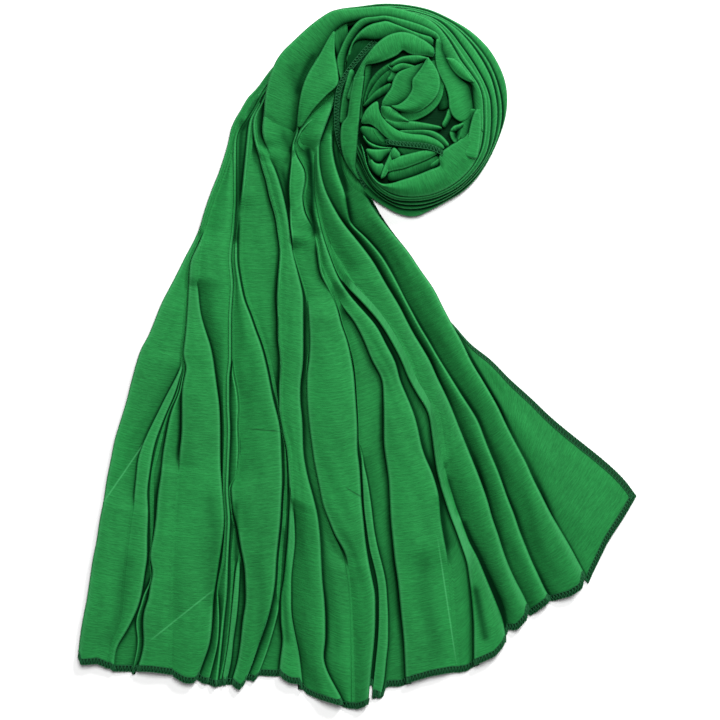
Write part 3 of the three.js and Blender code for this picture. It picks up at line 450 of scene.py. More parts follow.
def painted_light_and_band_values(x, y):
    """Painted shade: how dark a point is painted for lying in the pockets, 0 to 1."""
    out = np.zeros_like(x)
    for pts, half, depth in POCKET_SHADE_LINES:
        best = np.full_like(x, 1e9)
        for (x0, y0), (x1, y1) in zip(pts, pts[1:]):
            dx, dy = x1 - x0, y1 - y0
            f = np.clip(((x - x0) * dx + (y - y0) * dy) / (dx * dx + dy * dy), 0, 1)
            best = np.minimum(best, np.hypot(x - x0 - f * dx, y - y0 - f * dy))
        out = 1 - (1 - out) * (1 - depth * np.exp(-(best / half) ** 2))
    return out


# the pockets' painted shade is laid over the fan's painted light
pocket_shade_fan = painted_light_and_band_values(GX, GY)
PAINTED_LIGHT = np.where(PAINTED_LIGHT > 0, 1 - (1 - PAINTED_LIGHT) * (1 - pocket_shade_fan), PAINTED_LIGHT * (1 - pocket_shade_fan) + pocket_shade_fan)

# lengths along the cloth, for the weave: across from the middle of each panel, and along each column
P = np.stack([GX, GY, GZ], -1)
step_u = np.concatenate([np.zeros((ROWS, 1)), np.linalg.norm(np.diff(P, axis=1), axis=2)], 1)
arc_u = np.cumsum(step_u, 1)
step_v = np.concatenate([np.zeros((1, FAN_COLS)), np.linalg.norm(np.diff(P, axis=0), axis=2)], 0)
arc_v = np.cumsum(step_v, 0)
CUT = np.zeros((ROWS, FAN_COLS, 3))
for k in range(n_folds - 1):
    a = where_fold[k] + (5 if k else 0)
    b = where_fold[k + 1] + (5 if k + 1 < n_folds - 1 else 1)
    mid = (a + b) // 2
    CUT[:, a:b, 0] = arc_u[:, a:b] - arc_u[:, mid:mid + 1] + 37.0 * k
v_rows = arc_v.mean(1)
CUT[:, :, 1] = arc_v - (arc_v - v_rows[:, None]) * 0.6
to_hem = arc_v[-1][None, :] - arc_v
to_side = np.full_like(to_hem, 999.0)
a = where_fold[n_folds - 2] + 5
to_side[:, a:] = arc_u[:, -1:] - arc_u[:, a:]
EDGE = np.minimum(to_hem, to_side)
CUT[:, :, 2] = 0
CUT /= 1000.0
print("across the cloth at the hem, the middle and the top, mm", arc_u[-1, -1], arc_u[ROWS // 2, -1], arc_u[0, -1], "long", v_rows[-1])


# painted light along fine pressed creases: (x0, y0, x1, y1, way), 1 painted highlight and -1 painted shade
CREASE_LIGHT_LINES = [(101, 506, 148, 437, 1), (147, 643, 216, 588, 1), (437, 535, 457, 668, 1), (245, 428.5, 281, 431.5, -1), (345, 487, 363, 498, -1)]
nearest = np.full((ROWS, FAN_COLS), 1e9)
CREASE_LIGHT_GRID = np.zeros((ROWS, FAN_COLS, 3))
CREASE_LIGHT_GRID[..., 0] = 99.0
for x0, y0, x1, y1, bright in CREASE_LIGHT_LINES:
    dx, dy = x1 - x0, y1 - y0
    length = math.hypot(dx, dy)
    along = ((GX - x0) * dx + (GY - y0) * dy) / length**2
    away = ((GX - x0) * dy - (GY - y0) * dx) / length
    far_ = np.hypot(away, (along - np.clip(along, 0, 1)) * length)
    pick = far_ < nearest
    nearest = np.where(pick, far_, nearest)
    CREASE_LIGHT_GRID = np.where(pick[..., None], np.stack([away, along, np.full_like(away, bright)], -1), CREASE_LIGHT_GRID)


def area_of(grid):
    a = grid[1:, :-1] - grid[:-1, :-1]
    b = grid[:-1, 1:] - grid[:-1, :-1]
    return float(np.linalg.norm(np.cross(a, b), axis=2).sum())


def grid_mesh(name, pts, cut, material, thick=0.8, edge=None, deep=None, crease_light=None):
    rows, cols = pts.shape[:2]
    mesh = bpy.data.meshes.new(name)
    idx = np.arange(rows * cols).reshape(rows, cols)
    quads = np.stack([idx[:-1, :-1], idx[1:, :-1], idx[1:, 1:], idx[:-1, 1:]], -1).reshape(-1, 4)
    mesh.vertices.add(rows * cols)
    mesh.vertices.foreach_set("co", pts.reshape(-1).astype(np.float32))
    mesh.loops.add(len(quads) * 4)
    mesh.polygons.add(len(quads))
    mesh.loops.foreach_set("vertex_index", quads.reshape(-1).astype(np.int32))
    mesh.polygons.foreach_set("loop_start", np.arange(0, len(quads) * 4, 4, dtype=np.int32))
    mesh.polygons.foreach_set("use_smooth", np.ones(len(quads), bool))
    at = mesh.attributes.new("cut", "FLOAT_VECTOR", "POINT")
    at.data.foreach_set("vector", cut.reshape(-1).astype(np.float32))
    rim = mesh.attributes.new("rim", "FLOAT", "POINT")
    far = np.full(rows * cols, 999.0) if edge is None else edge.reshape(-1)
    rim.data.foreach_set("value", far.astype(np.float32))
    # painted light per point: painted shade positive, painted highlight negative
    painted_light_band_attr = mesh.attributes.new("painted_light_and_band", "FLOAT", "POINT")
    painted_light_band_attr.data.foreach_set("value", (np.zeros(rows * cols) if deep is None else deep.reshape(-1)).astype(np.float32))
    # painted highlight and painted shade along the pressed creases
    if crease_light is not None:
        mesh.attributes.new("crease_light", "FLOAT_VECTOR", "POINT").data.foreach_set("vector", crease_light.reshape(-1).astype(np.float32))
    mesh.update()
    mesh.validate()
    mesh.materials.append(material)
    obj = bpy.data.objects.new(name, mesh)
    bpy.context.scene.collection.objects.link(obj)
    if thick:
        mod = obj.modifiers.new("thickness", "SOLIDIFY")
        mod.thickness = thick / 1000.0
        mod.offset = 0
        mod.use_rim = True
    return obj


# ---- materials ----
def principled(name):
    mat = bpy.data.materials.new(name)
    mat.use_nodes = True
    nt = mat.node_tree
    return mat, nt, nt.nodes["Principled BSDF"]


def jersey(name, light, deep, streak=1.0):
    """Fine slub jersey: short crosswise slubs, small stitches under them, a soft sheen."""
    mat, nt, bsdf = principled(name)
    n, link = nt.nodes, nt.links
    at = n.new("ShaderNodeAttribute")
    at.attribute_name = "cut"

    def noise(sx, sy, scale, detail, rough, shift=0.0):
        mp = n.new("ShaderNodeMapping")
        mp.inputs["Scale"].default_value = (sx, sy, 1.0)
        mp.inputs["Location"].default_value = (shift, shift * 0.7, shift * 1.3)
        link.new(at.outputs["Vector"], mp.inputs["Vector"])
        tx = n.new("ShaderNodeTexNoise")
        tx.inputs["Scale"].default_value = scale
        tx.inputs["Detail"].default_value = detail
        tx.inputs["Roughness"].default_value = rough
        link.new(mp.outputs["Vector"], tx.inputs["Vector"])
        return tx.outputs["Fac"]

    def ramp(src, lo, hi, a=0.0, b=1.0):
        mr = n.new("ShaderNodeMapRange")
        mr.inputs["From Min"].default_value = lo
        mr.inputs["From Max"].default_value = hi
        mr.inputs["To Min"].default_value = a
        mr.inputs["To Max"].default_value = b
        link.new(src, mr.inputs["Value"])
        return mr.outputs["Result"]

    def maths(op, a, b):
        m = n.new("ShaderNodeMath")
        m.operation = op
        for i, v in enumerate((a, b)):
            if isinstance(v, (int, float)):
                m.inputs[i].default_value = v
            else:
                link.new(v, m.inputs[i])
        return m.outputs["Value"]

    slub = ramp(noise(0.19, 1.0, 900.0, 2.0, 0.6), 0.34, 0.68)
    long_slub = ramp(noise(0.075, 1.0, 640.0, 1.0, 0.5, 3.1), 0.40, 0.66)
    fine = noise(1.0, 1.0, 1500.0, 2.0, 0.6, 7.7)
    patch = ramp(noise(0.6, 0.5, 26.0, 3.0, 0.55, 1.9), 0.3, 0.7)
    streaks = maths("ADD", maths("MULTIPLY", slub, 0.62), maths("MULTIPLY", long_slub, 0.38))
    tone = maths("ADD", maths("MULTIPLY", streaks, 0.36 * streak),
                 maths("ADD", maths("MULTIPLY", fine, 0.42), maths("MULTIPLY", patch, 0.16)))
    mix = n.new("ShaderNodeMix")
    mix.data_type = "RGBA"
    mix.inputs["A"].default_value = (*deep, 1)
    mix.inputs["B"].default_value = (*light, 1)
    link.new(ramp(tone, 0.14, 0.84), mix.inputs["Factor"])
    rim = n.new("ShaderNodeAttribute")
    rim.attribute_name = "rim"
    band = ramp(rim.outputs["Fac"], 5.8, 6.8, 0.9, 0.0)
    over = n.new("ShaderNodeMix")
    over.data_type = "RGBA"
    over.inputs["B"].default_value = (0.0012, 0.015, 0.0055, 1)
    link.new(mix.outputs["Result"], over.inputs["A"])
    link.new(band, over.inputs["Factor"])
    # painted shade: positive values darken the colour towards near black, as shade in folds and pockets; on the neck
    # band and the coil's edge strip the same value also gives the overlock band's own dark colour
    painted_light_band_attr = n.new("ShaderNodeAttribute")
    painted_light_band_attr.attribute_name = "painted_light_and_band"
    shade_mix = n.new("ShaderNodeMix")
    shade_mix.data_type = "RGBA"
    shade_mix.inputs["B"].default_value = (0.0006, 0.0075, 0.0028, 1)
    link.new(over.outputs["Result"], shade_mix.inputs["A"])
    link.new(ramp(painted_light_band_attr.outputs["Fac"], 0.0, 1.0, 0.0, 0.96), shade_mix.inputs["Factor"])
    # painted highlight: negative values lighten the colour towards a bright green
    highlight_mix = n.new("ShaderNodeMix")
    highlight_mix.data_type = "RGBA"
    highlight_mix.inputs["B"].default_value = (0.075, 0.42, 0.150, 1)
    link.new(shade_mix.outputs["Result"], highlight_mix.inputs["A"])
    link.new(ramp(painted_light_band_attr.outputs["Fac"], -1.0, 0.0, 0.75, 0.0), highlight_mix.inputs["Factor"])
    # painted highlight and painted shade along the pressed creases
    crease_light = n.new("ShaderNodeAttribute")
    crease_light.attribute_name = "crease_light"
    split = n.new("ShaderNodeSeparateXYZ")
    link.new(crease_light.outputs["Vector"], split.inputs["Vector"])
    line = ramp(maths("ABSOLUTE", split.outputs["X"], 0.0), 0.25, 1.1, 1.0, 0.0)
    ends = maths("MULTIPLY", ramp(split.outputs["Y"], 0.0, 0.18, 0.0, 1.0), ramp(split.outputs["Y"], 0.82, 1.0, 1.0, 0.0))
    mark = maths("MULTIPLY", line, ends)
    lit = n.new("ShaderNodeMix")
    lit.data_type = "RGBA"
    lit.inputs["B"].default_value = (0.075, 0.42, 0.150, 1)
    link.new(highlight_mix.outputs["Result"], lit.inputs["A"])
    link.new(maths("MULTIPLY", mark, ramp(split.outputs["Z"], 0.0, 1.0, 0.0, 0.34)), lit.inputs["Factor"])
    dim = n.new("ShaderNodeMix")
    dim.data_type = "RGBA"
    dim.inputs["B"].default_value = (0.0006, 0.0075, 0.0028, 1)
    link.new(lit.outputs["Result"], dim.inputs["A"])
    link.new(maths("MULTIPLY", mark, ramp(split.outputs["Z"], -1.0, 0.0, 0.5, 0.0)), dim.inputs["Factor"])
    link.new(dim.outputs["Result"], bsdf.inputs["Base Color"])
    link.new(ramp(streaks, 0.0, 1.0, 0.86, 0.7), bsdf.inputs["Roughness"])
    # painted shade also takes away the specular and the sheen where the colour is painted dark
    unshaded = ramp(painted_light_band_attr.outputs["Fac"], 0.0, 0.9, 1.0, 0.04)
    link.new(maths("MULTIPLY", unshaded, 0.14), bsdf.inputs["Specular IOR Level"])
    link.new(maths("MULTIPLY", unshaded, 0.24), bsdf.inputs["Sheen Weight"])
    bsdf.inputs["Sheen Roughness"].default_value = 0.35
    bsdf.inputs["Sheen Tint"].default_value = (0.12, 0.8, 0.33, 1)
    bump = n.new("ShaderNodeBump")
    bump.inputs["Strength"].default_value = 0.55
    bump.inputs["Distance"].default_value = 0.0005
    link.new(maths("ADD", maths("MULTIPLY", streaks, 0.7), maths("MULTIPLY", fine, 0.5)), bump.inputs["Height"])
    link.new(bump.outputs["Normal"], bsdf.inputs["Normal"])
    return mat


def yarn(name, light, deep):
    """Spun sewing thread: fine twist along it and small fuzz."""
    mat, nt, bsdf = principled(name)
    n, link = nt.nodes, nt.links
    geo = n.new("ShaderNodeTexCoord")
    tx = n.new("ShaderNodeTexNoise")
    tx.inputs["Scale"].default_value = 1800.0
    tx.inputs["Detail"].default_value = 2.0
    link.new(geo.outputs["Object"], tx.inputs["Vector"])
    mix = n.new("ShaderNodeMix")
    mix.data_type = "RGBA"
    mix.inputs["A"].default_value = (*deep, 1)
    mix.inputs["B"].default_value = (*light, 1)
    link.new(tx.outputs["Fac"], mix.inputs["Factor"])
    link.new(mix.outputs["Result"], bsdf.inputs["Base Color"])
    bsdf.inputs["Roughness"].default_value = 0.62
    bsdf.inputs["Specular IOR Level"].default_value = 0.2
    bump = n.new("ShaderNodeBump")
    bump.inputs["Strength"].default_value = 0.4
    bump.inputs["Distance"].default_value = 0.0003
    link.new(tx.outputs["Fac"], bump.inputs["Height"])
    link.new(bump.outputs["Normal"], bsdf.inputs["Normal"])
    return mat


JERSEY = jersey("jersey", (0.0150, 0.252, 0.053), (0.0060, 0.098, 0.022))
# a darker copy of the jersey: painted shade for the hidden layers under the coil and the neck
JERSEY_SHADED = jersey("jersey_shaded", (0.005, 0.070, 0.018), (0.002, 0.035, 0.009))
THREAD = yarn("overlock_thread", (0.009, 0.130, 0.038), (0.003, 0.050, 0.016))

PIECES = []


def piece(obj, replaces=()):
    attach(obj, "root")
    if replaces:
        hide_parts(*replaces)
    PIECES.append(obj)
    return obj


# ---- the fan in four widths, parted inside folds that are turned all the way down ----
parts = [("scarf_left", "SL", "p"), ("scarf_middle", "p", "L6"), ("scarf_middle_right", "L6", "L12"), ("scarf_right", "L12", "L15")]
stands_for = {
    "scarf_left": ("fan_left", "hem_left"), "scarf_middle": ("fan_middle", "hem_middle"),
    "scarf_middle_right": ("fan_middle_right", "hem_middle_right", "neck"),
    "scarf_right": ("fan_right", "hem_right", "corner_flap", "hem_corner", "side_edge_corner"),
}
world = place(GX, GY, GZ)
for name, first, last in parts:
    ka, kb = NAMES.index(first), NAMES.index(last)
    a = where_fold[ka] + (7 if ka else 0)
    b = where_fold[kb] + (8 if kb < n_folds - 1 else 1)
    obj = grid_mesh(name, world[:, a:b], CUT[:, a:b], JERSEY, edge=EDGE[:, a:b], deep=PAINTED_LIGHT[:, a:b], crease_light=CREASE_LIGHT_GRID[:, a:b])
    piece(obj, stands_for[name])
    print(name, "area", round(area_of(world[:, a:b]), 4), "across", [round(float(arc_u[i, b - 1] - arc_u[i, a]), 1) for i in (0, ROWS // 2, ROWS - 1)], "along", round(float(arc_v[-1, a:b].mean()), 1))

# ---- overlocked edges: looped threads along the cloth's edge ----
def tubes(name, paths, radius, material, sides=5):
    """Threads as one mesh. paths: arrays (n, points, 3) in metres."""
    verts, faces, base = [], [], 0
    for block in paths:
        block = np.asarray(block, float)
        n, m, _ = block.shape
        tang = np.gradient(block, axis=1)
        tang /= np.maximum(np.linalg.norm(tang, axis=2, keepdims=True), 1e-9)
        ref = np.array([0.13, 0.21, 0.97])
        a = np.cross(tang, ref)
        a /= np.maximum(np.linalg.norm(a, axis=2, keepdims=True), 1e-9)
        b = np.cross(tang, a)
        ang = np.arange(sides) * 2 * math.pi / sides
        ring = block[:, :, None, :] + radius * (np.cos(ang)[None, None, :, None] * a[:, :, None, :] + np.sin(ang)[None, None, :, None] * b[:, :, None, :])
        verts.append(ring.reshape(-1, 3))
        idx = base + np.arange(n * m * sides).reshape(n, m, sides)
        nxt = np.roll(idx, -1, axis=2)
        faces.append(np.stack([idx[:, :-1], nxt[:, :-1], nxt[:, 1:], idx[:, 1:]], -1).reshape(-1, 4))
        base += n * m * sides
    verts = np.concatenate(verts)
    faces = np.concatenate(faces)
    mesh = bpy.data.meshes.new(name)
    mesh.vertices.add(len(verts))
    mesh.vertices.foreach_set("co", verts.reshape(-1).astype(np.float32))
    mesh.loops.add(len(faces) * 4)
    mesh.polygons.add(len(faces))
    mesh.loops.foreach_set("vertex_index", faces.reshape(-1).astype(np.int32))
    mesh.polygons.foreach_set("loop_start", np.arange(0, len(faces) * 4, 4, dtype=np.int32))
    mesh.polygons.foreach_set("use_smooth", np.ones(len(faces), bool))
    mesh.update()
    mesh.validate()
    mesh.materials.append(material)
    obj = bpy.data.objects.new(name, mesh)
    bpy.context.scene.collection.objects.link(obj)
    return obj


def overlock(edge, inward, up, pitch=3.4, width=6.0, lift=0.75):
    """Paths of the threads of an overlocked edge. edge, inward, up: arrays (n, 3) in mm along the edge, evenly spaced
    at the stitch pitch; inward and up are unit vectors. The pitch argument is not used.
    """
    n = len(edge)
    rng = np.random.default_rng(5)
    wob = rng.uniform(-0.25, 0.25, (n, 4))

    def at(i, across, height, along):
        i = np.clip(i + along, 0, n - 1)
        lo = np.floor(i).astype(int)
        hi = np.minimum(lo + 1, n - 1)
        f = (i - lo)[:, None]
        e = edge[lo] * (1 - f) + edge[hi] * f
        w_ = inward[lo] * (1 - f) + inward[hi] * f
        u_ = up[lo] * (1 - f) + up[hi] * f
        return e + w_ * (across)[:, None] + u_ * (height)[:, None]

    i = np.arange(n - 1).astype(float)
    one = np.ones(n - 1)
    out = []
    # the upper looper: from the needle line out over the edge and back, leaning along the edge
    wrap = [at(i, (width + wob[:-1, 0]) * one, (lift + 0.1) * one, 0.0), at(i, width * 0.66 * one, (lift + 0.28) * one, 0.12),
            at(i, width * 0.33 * one, (lift + 0.3) * one, 0.26), at(i, 0.1 * one, (lift + 0.1) * one, 0.42 + wob[:-1, 1] * 0.2), at(i, -0.55 * one, 0.0 * one, 0.48)]
    out.append(np.stack(wrap, 1))
    wrap2 = [at(i, -0.5 * one, 0.1 * one, 0.5), at(i, 0.15 * one, (lift + 0.1) * one, 0.55), at(i, width * 0.35 * one, (lift + 0.24) * one, 0.74),
             at(i, width * 0.7 * one, (lift + 0.2) * one, 0.9 + wob[:-1, 2] * 0.2), at(i, (width + 0.1) * one, (lift + 0.05) * one, 1.0)]
    out.append(np.stack(wrap2, 1))
    # the chain along the edge and the needle line
    out.append(np.stack([at(i, -0.35 * one, 0.55 * one, 0.0), at(i, 0.25 * one, (lift + 0.35) * one, 0.3), at(i, -0.2 * one, 0.5 * one, 0.62), at(i, -0.35 * one, 0.5 * one, 1.0)], 1))
    out.append(np.stack([at(i, (width - 0.3) * one, (lift + 0.15) * one, 0.0), at(i, (width - 0.1) * one, (lift + 0.42) * one, 0.35),
                         at(i, (width - 0.2) * one, (lift + 0.4) * one, 0.7), at(i, (width - 0.3) * one, (lift + 0.1) * one, 1.0)], 1))
    return [o / 1.0 for o in out]


def resample(line, pitch):
    d = np.concatenate([[0], np.cumsum(np.linalg.norm(np.diff(line, axis=0), axis=1))])
    n = max(int(d[-1] / pitch), 2)
    at = np.linspace(0, d[-1], n)
    return at, d


def edge_frame(edge, inner, pitch):
    """Even stations along an edge polyline, with the way in and the way up."""
    at, d = resample(edge, pitch)
    pick = lambda q: np.stack([np.interp(at, d, q[:, c]) for c in range(3)], 1)
    e, i = pick(edge), pick(inner)
    w_ = i - e
    w_ /= np.maximum(np.linalg.norm(w_, axis=1, keepdims=True), 1e-9)
    t_ = np.gradient(e, axis=0)
    t_ /= np.maximum(np.linalg.norm(t_, axis=1, keepdims=True), 1e-9)
    u_ = np.cross(t_, w_)
    u_ /= np.maximum(np.linalg.norm(u_, axis=1, keepdims=True), 1e-9)
    return e, w_, u_


MM = world * 1000.0
threads = []
inner_rows = np.clip(ROWS - 1 - 3, 0, ROWS - 1)
hem_edge, hem_in = MM[-1], MM[inner_rows]
e, w_, u_ = edge_frame(hem_edge, hem_in, 3.4)
u_ = np.where(u_[:, 2:3] < 0, -u_, u_)
threads += overlock(e, w_, u_)
side_edge, side_in = MM[6:, -1], MM[6:, -4]
e, w_, u_ = edge_frame(side_edge, side_in, 3.6)
u_ = np.where(u_[:, 2:3] < 0, -u_, u_)
threads += overlock(e, w_, u_)
threads = [np.concatenate([t[..., :2], np.maximum(t[..., 2:], 0.5)], -1) for t in threads]
hem = tubes("overlock_hem", [t / 1000.0 for t in threads], 0.00036, THREAD, 4)
piece(hem)
print("threads", len(hem.data.polygons) * 2)

# ---- the coil: the neck's layers wound round, as ribbons between two edges ----
def curve(points, n):
    """n even points on a smooth line through the given ones."""
    p = np.asarray(points, float)
    d = np.concatenate([[0], np.cumsum(np.linalg.norm(np.diff(p, axis=0), axis=1))])
    m = np.zeros_like(p)
    m[1:-1] = (p[2:] - p[:-2]) / (d[2:] - d[:-2])[:, None]
    m[0] = (p[1] - p[0]) / (d[1] - d[0])
    m[-1] = (p[-1] - p[-2]) / (d[-1] - d[-2])
    s = np.linspace(0, d[-1], n)
    k = np.clip(np.searchsorted(d, s, side="right") - 1, 0, len(p) - 2)
    h = (d[k + 1] - d[k])[:, None]
    t = ((s - d[k]) / h[:, 0])[:, None]
    return ((2 * t**3 - 3 * t**2 + 1) * p[k] + (t**3 - 2 * t**2 + t) * h * m[k]
            + (-2 * t**3 + 3 * t**2) * p[k + 1] + (t**3 - t**2) * h * m[k + 1])


def levels(z, n):
    """Heights along a ribbon from a few values, evenly spread."""
    z = np.atleast_1d(np.asarray(z, float))
    if len(z) == 1:
        return np.full(n, z[0])
    return eased(np.linspace(0, 1, n), list(zip(np.linspace(0, 1, len(z)), z)))


RIBBONS = []


def ribbon(name, a, b, za, zb, a_free=True, b_free=False, crown=1.2, nose=1.3, back=4.0, seed=0, dark=0.05, n=None, shade_b=0.95, shade_a=0.0, reach=0.35, under=1.0, soft=None, tip=4.0):
    """Cloth from edge a to edge b. A free edge ends in a rounded fold that goes back under by `back`; the other one
    runs in under what lies over it. Each point also carries painted light: painted shade near an edge that runs in
    under (`shade_b`, `shade_a`), on a fold's underside and over the whole ribbon by `dark`, and a painted highlight on
    top of a free edge.
    """
    length = np.linalg.norm(np.diff(np.asarray(a, float), axis=0), axis=1).sum()
    n = n or int(np.clip(length / 2.0, 12, 150))
    A, B = curve(a, n), curve(b, n)
    ZA, ZB = levels(za, n), levels(zb, n)
    if tip:
        at_end = np.minimum(np.arange(n), np.arange(n)[::-1]) * length / (n - 1)
        full = np.sqrt(1 - np.clip(1 - (at_end + 0.25) / tip, 0, 1) ** 2)[:, None]
        A, B = (A + B) / 2 + (A - B) / 2 * (0.2 + 0.8 * full), (A + B) / 2 + (B - A) / 2 * (0.2 + 0.8 * full)
        ZA, ZB = ZA - 2.2 * (1 - full[:, 0]), ZB - 2.2 * (1 - full[:, 0])
    side = B - A
    wide = np.maximum(np.linalg.norm(side, axis=1), 0.4)[:, None]
    unit = side / wide
    s = np.linspace(0, 1, n)
    cols, zs, deep = [], [], []
    edge_of = lambda q, line: np.sqrt(((q[:, None, :] - line[None, :, :]) ** 2).sum(2).min(1))
    m = int(np.clip(wide.max() / 1.7, 6, 28))
    r = np.minimum(min(nose, 1.2), 0.3 * wide[:, 0])

    def turn(edge, z, toward, order):
        """The rounded fold and its short way back, from the far end to the top when order is -1."""
        rows = []
        # painted highlight on the top of the fold, painted shade on its underside and on the part that goes back under
        for deg in (90, 50, 10, -35, -90):
            c, s_ = math.cos(math.radians(deg)), math.sin(math.radians(deg))
            rows.append((edge + toward * (r * (1 - c))[:, None], z - nose * 1.35 + nose * 1.35 * s_, {90: -0.3, 50: -0.1, 10: 0.6, -35: 1.0, -90: 1.0}[deg]))
        for f in (0.5, 1.0):
            rows.append((edge + toward * (r + np.minimum(back, wide[:, 0] * 0.6) * f)[:, None], z - nose * 2.7 - 0.5 * f, 1.0))
        return rows[::-1] if order < 0 else rows

    if a_free:
        for p, z, dk in turn(A, ZA, unit, -1):
            cols.append(p); zs.append(z); deep.append(np.full(n, dk))
    else:
        cols.append(A); zs.append(ZA); deep.append(np.full(n, shade_a))
    for i in range(1, m + 1):
        u = i / (m + 1)
        p0 = A + unit * (r if a_free else 0 * r)[:, None]
        p1 = B - unit * (r if b_free else 0 * r)[:, None]
        z = ZA + (ZB - ZA) * (0.4 * u + 0.6 * u * u * (3 - 2 * u))
        lift = crown * 4 * u * (1 - u) * np.clip(wide[:, 0] / 8, 0.3, 1.3)
        lift = lift + 4 * u * (1 - u) * np.clip(wide[:, 0] / 20, 0, 1.2) * 1.2 * waves(s * length / 60.0, u * 0.5, 300 + seed, n=6)
        cols.append(p0 + (p1 - p0) * u)
        zs.append(z + lift)
        # painted shade near edge b where it runs in under the next layer and near edge a by `shade_a`; painted
        # highlight beside a free edge
        fade = soft or (1.3 + 0.16 * wide[:, 0])
        near_b = edge_of(cols[-1], curve(b, 4 * n))
        d_b = 0 if b_free else shade_b * np.exp(-np.clip(near_b - under, 0, None) / fade)
        edge_a = -0.25 * np.exp(-u * wide[:, 0] / 1.2) if a_free else 0
        edge_b = -0.25 * np.exp(-(1 - u) * wide[:, 0] / 1.2) if b_free else 0
        d_a = shade_a * math.exp(-u / reach)
        deep.append(np.clip((d_b + d_a) * (1 + 0.3 * waves(s * 2.0, s * 0, 800 + seed, n=4)), 0, 1) + edge_a + edge_b)
    if b_free:
        for p, z, dk in turn(B, ZB, -unit, 1):
            cols.append(p); zs.append(z); deep.append(np.full(n, dk))
    else:
        cols.append(B); zs.append(ZB); deep.append(np.full(n, shade_b))
    X = np.stack([c[:, 0] for c in cols], 1)
    Y = np.stack([c[:, 1] for c in cols], 1)
    Z = np.maximum(np.stack(zs, 1), 0.6)
    D = np.stack(deep, 1)
    # painted shade over the whole ribbon by `dark`; on the top panel also the pockets' painted shade
    D = np.where(D > 0, 1 - (1 - D) * (1 - dark), D * (1 - dark) + dark)
    pocket_shade_top = painted_light_and_band_values(X, Y) if name == "top_panel" else 0.0
    D = np.where(D > 0, 1 - (1 - D) * (1 - pocket_shade_top), D * (1 - pocket_shade_top) + pocket_shade_top)
    Q = np.stack([X, Y, Z], -1)
    us = np.concatenate([np.zeros((n, 1)), np.linalg.norm(np.diff(Q, axis=1), axis=2)], 1).cumsum(1)
    vs = np.concatenate([np.zeros((1, X.shape[1])), np.linalg.norm(np.diff(Q, axis=0), axis=2)], 0).cumsum(0).mean(1, keepdims=True)
    cut = np.stack([us - us[:, us.shape[1] // 2:us.shape[1] // 2 + 1] + 53.0 * len(RIBBONS), np.broadcast_to(vs, us.shape) + 11.0 * len(RIBBONS), np.zeros_like(us)], -1) / 1000.0
    RIBBONS.append((name, place(X, Y, Z), cut, D))


SIL = [(313, 25), (325, 15), (338, 9.5), (360, 6.5), (380, 4), (395, 4), (410, 5.5), (430, 10), (450, 19), (470, 31), (487, 47), (498, 64), (505, 82), (507, 100),
       (505, 118), (499, 137), (490, 157), (478, 176), (463, 191), (445, 202), (430, 210), (418, 215.5), (408, 216), (395, 212), (385, 206.5), (377, 201.5), (369, 195.5), (361, 187)]
LINE4 = [(322, 27), (335, 15), (360, 9), (385, 6), (405, 7), (425, 11), (441, 17.5), (455, 25.5), (467, 35.5), (478, 47.5), (487, 60), (494, 74), (499, 90), (501.5, 106), (501, 122), (497, 139),
         (489, 156), (478, 173), (464, 187), (448, 198), (432, 205), (417, 208.5), (402, 208), (389, 202.5), (378, 195.5), (369, 187), (360, 176), (354, 166)]
LINE3 = [(325, 29), (340, 17), (362, 11), (385, 8), (405, 9), (412, 9.5), (430, 14.5), (445, 21), (457, 29.5), (468, 41), (477, 53), (485, 66), (491, 79), (495, 94), (497, 110), (496, 127), (492, 144),
         (485, 160), (474, 174), (461, 187), (446, 196), (431, 202), (416, 204.5), (400, 203.5), (387, 198.5), (376, 190), (368, 179), (361, 166), (353, 152)]
LINE2 = [(328, 31), (343, 19), (364, 13), (386, 10), (405, 11), (415, 12.5), (430, 17), (441, 23.5), (451, 33), (460, 45), (468, 56), (477, 70), (484, 83), (489, 97), (490.5, 112), (490, 130), (487, 149),
         (479, 165), (467, 179), (454, 189), (439, 196), (425, 199.8), (410, 200.8), (396, 199.3), (384, 194), (374, 186), (366, 173), (360, 159), (354, 146), (350, 136)]
LINE1B = [(420, 14), (431, 18.8), (441, 26), (450, 36), (458, 47), (466, 59), (474, 70), (482, 84), (486.5, 97), (487.5, 113), (487, 131), (484, 148), (476.5, 164), (465, 178), (452, 187.8),
          (437, 194.8), (424, 198), (409, 199), (396, 197.6), (385, 192.5), (376, 184.5), (368, 172), (362, 157), (356, 144), (353, 134)]
LINE1 = [(405, 10.5), (420, 15.5), (431, 21), (440, 29), (449, 41), (455, 51), (461, 61), (470, 73), (478, 85), (482, 98), (483, 115), (483, 132), (480, 150), (473, 165), (462, 178), (449, 187),
         (434, 193.5), (418, 196.3), (402, 195.8), (390, 192), (379, 185), (370, 174), (364, 161), (359, 147), (355, 136)]
CENTRE = np.array([424.0, 105.0])


def inward(line, by):
    p = np.asarray(line, float)
    d = CENTRE - p
    return p + d / np.linalg.norm(d, axis=1, keepdims=True) * by


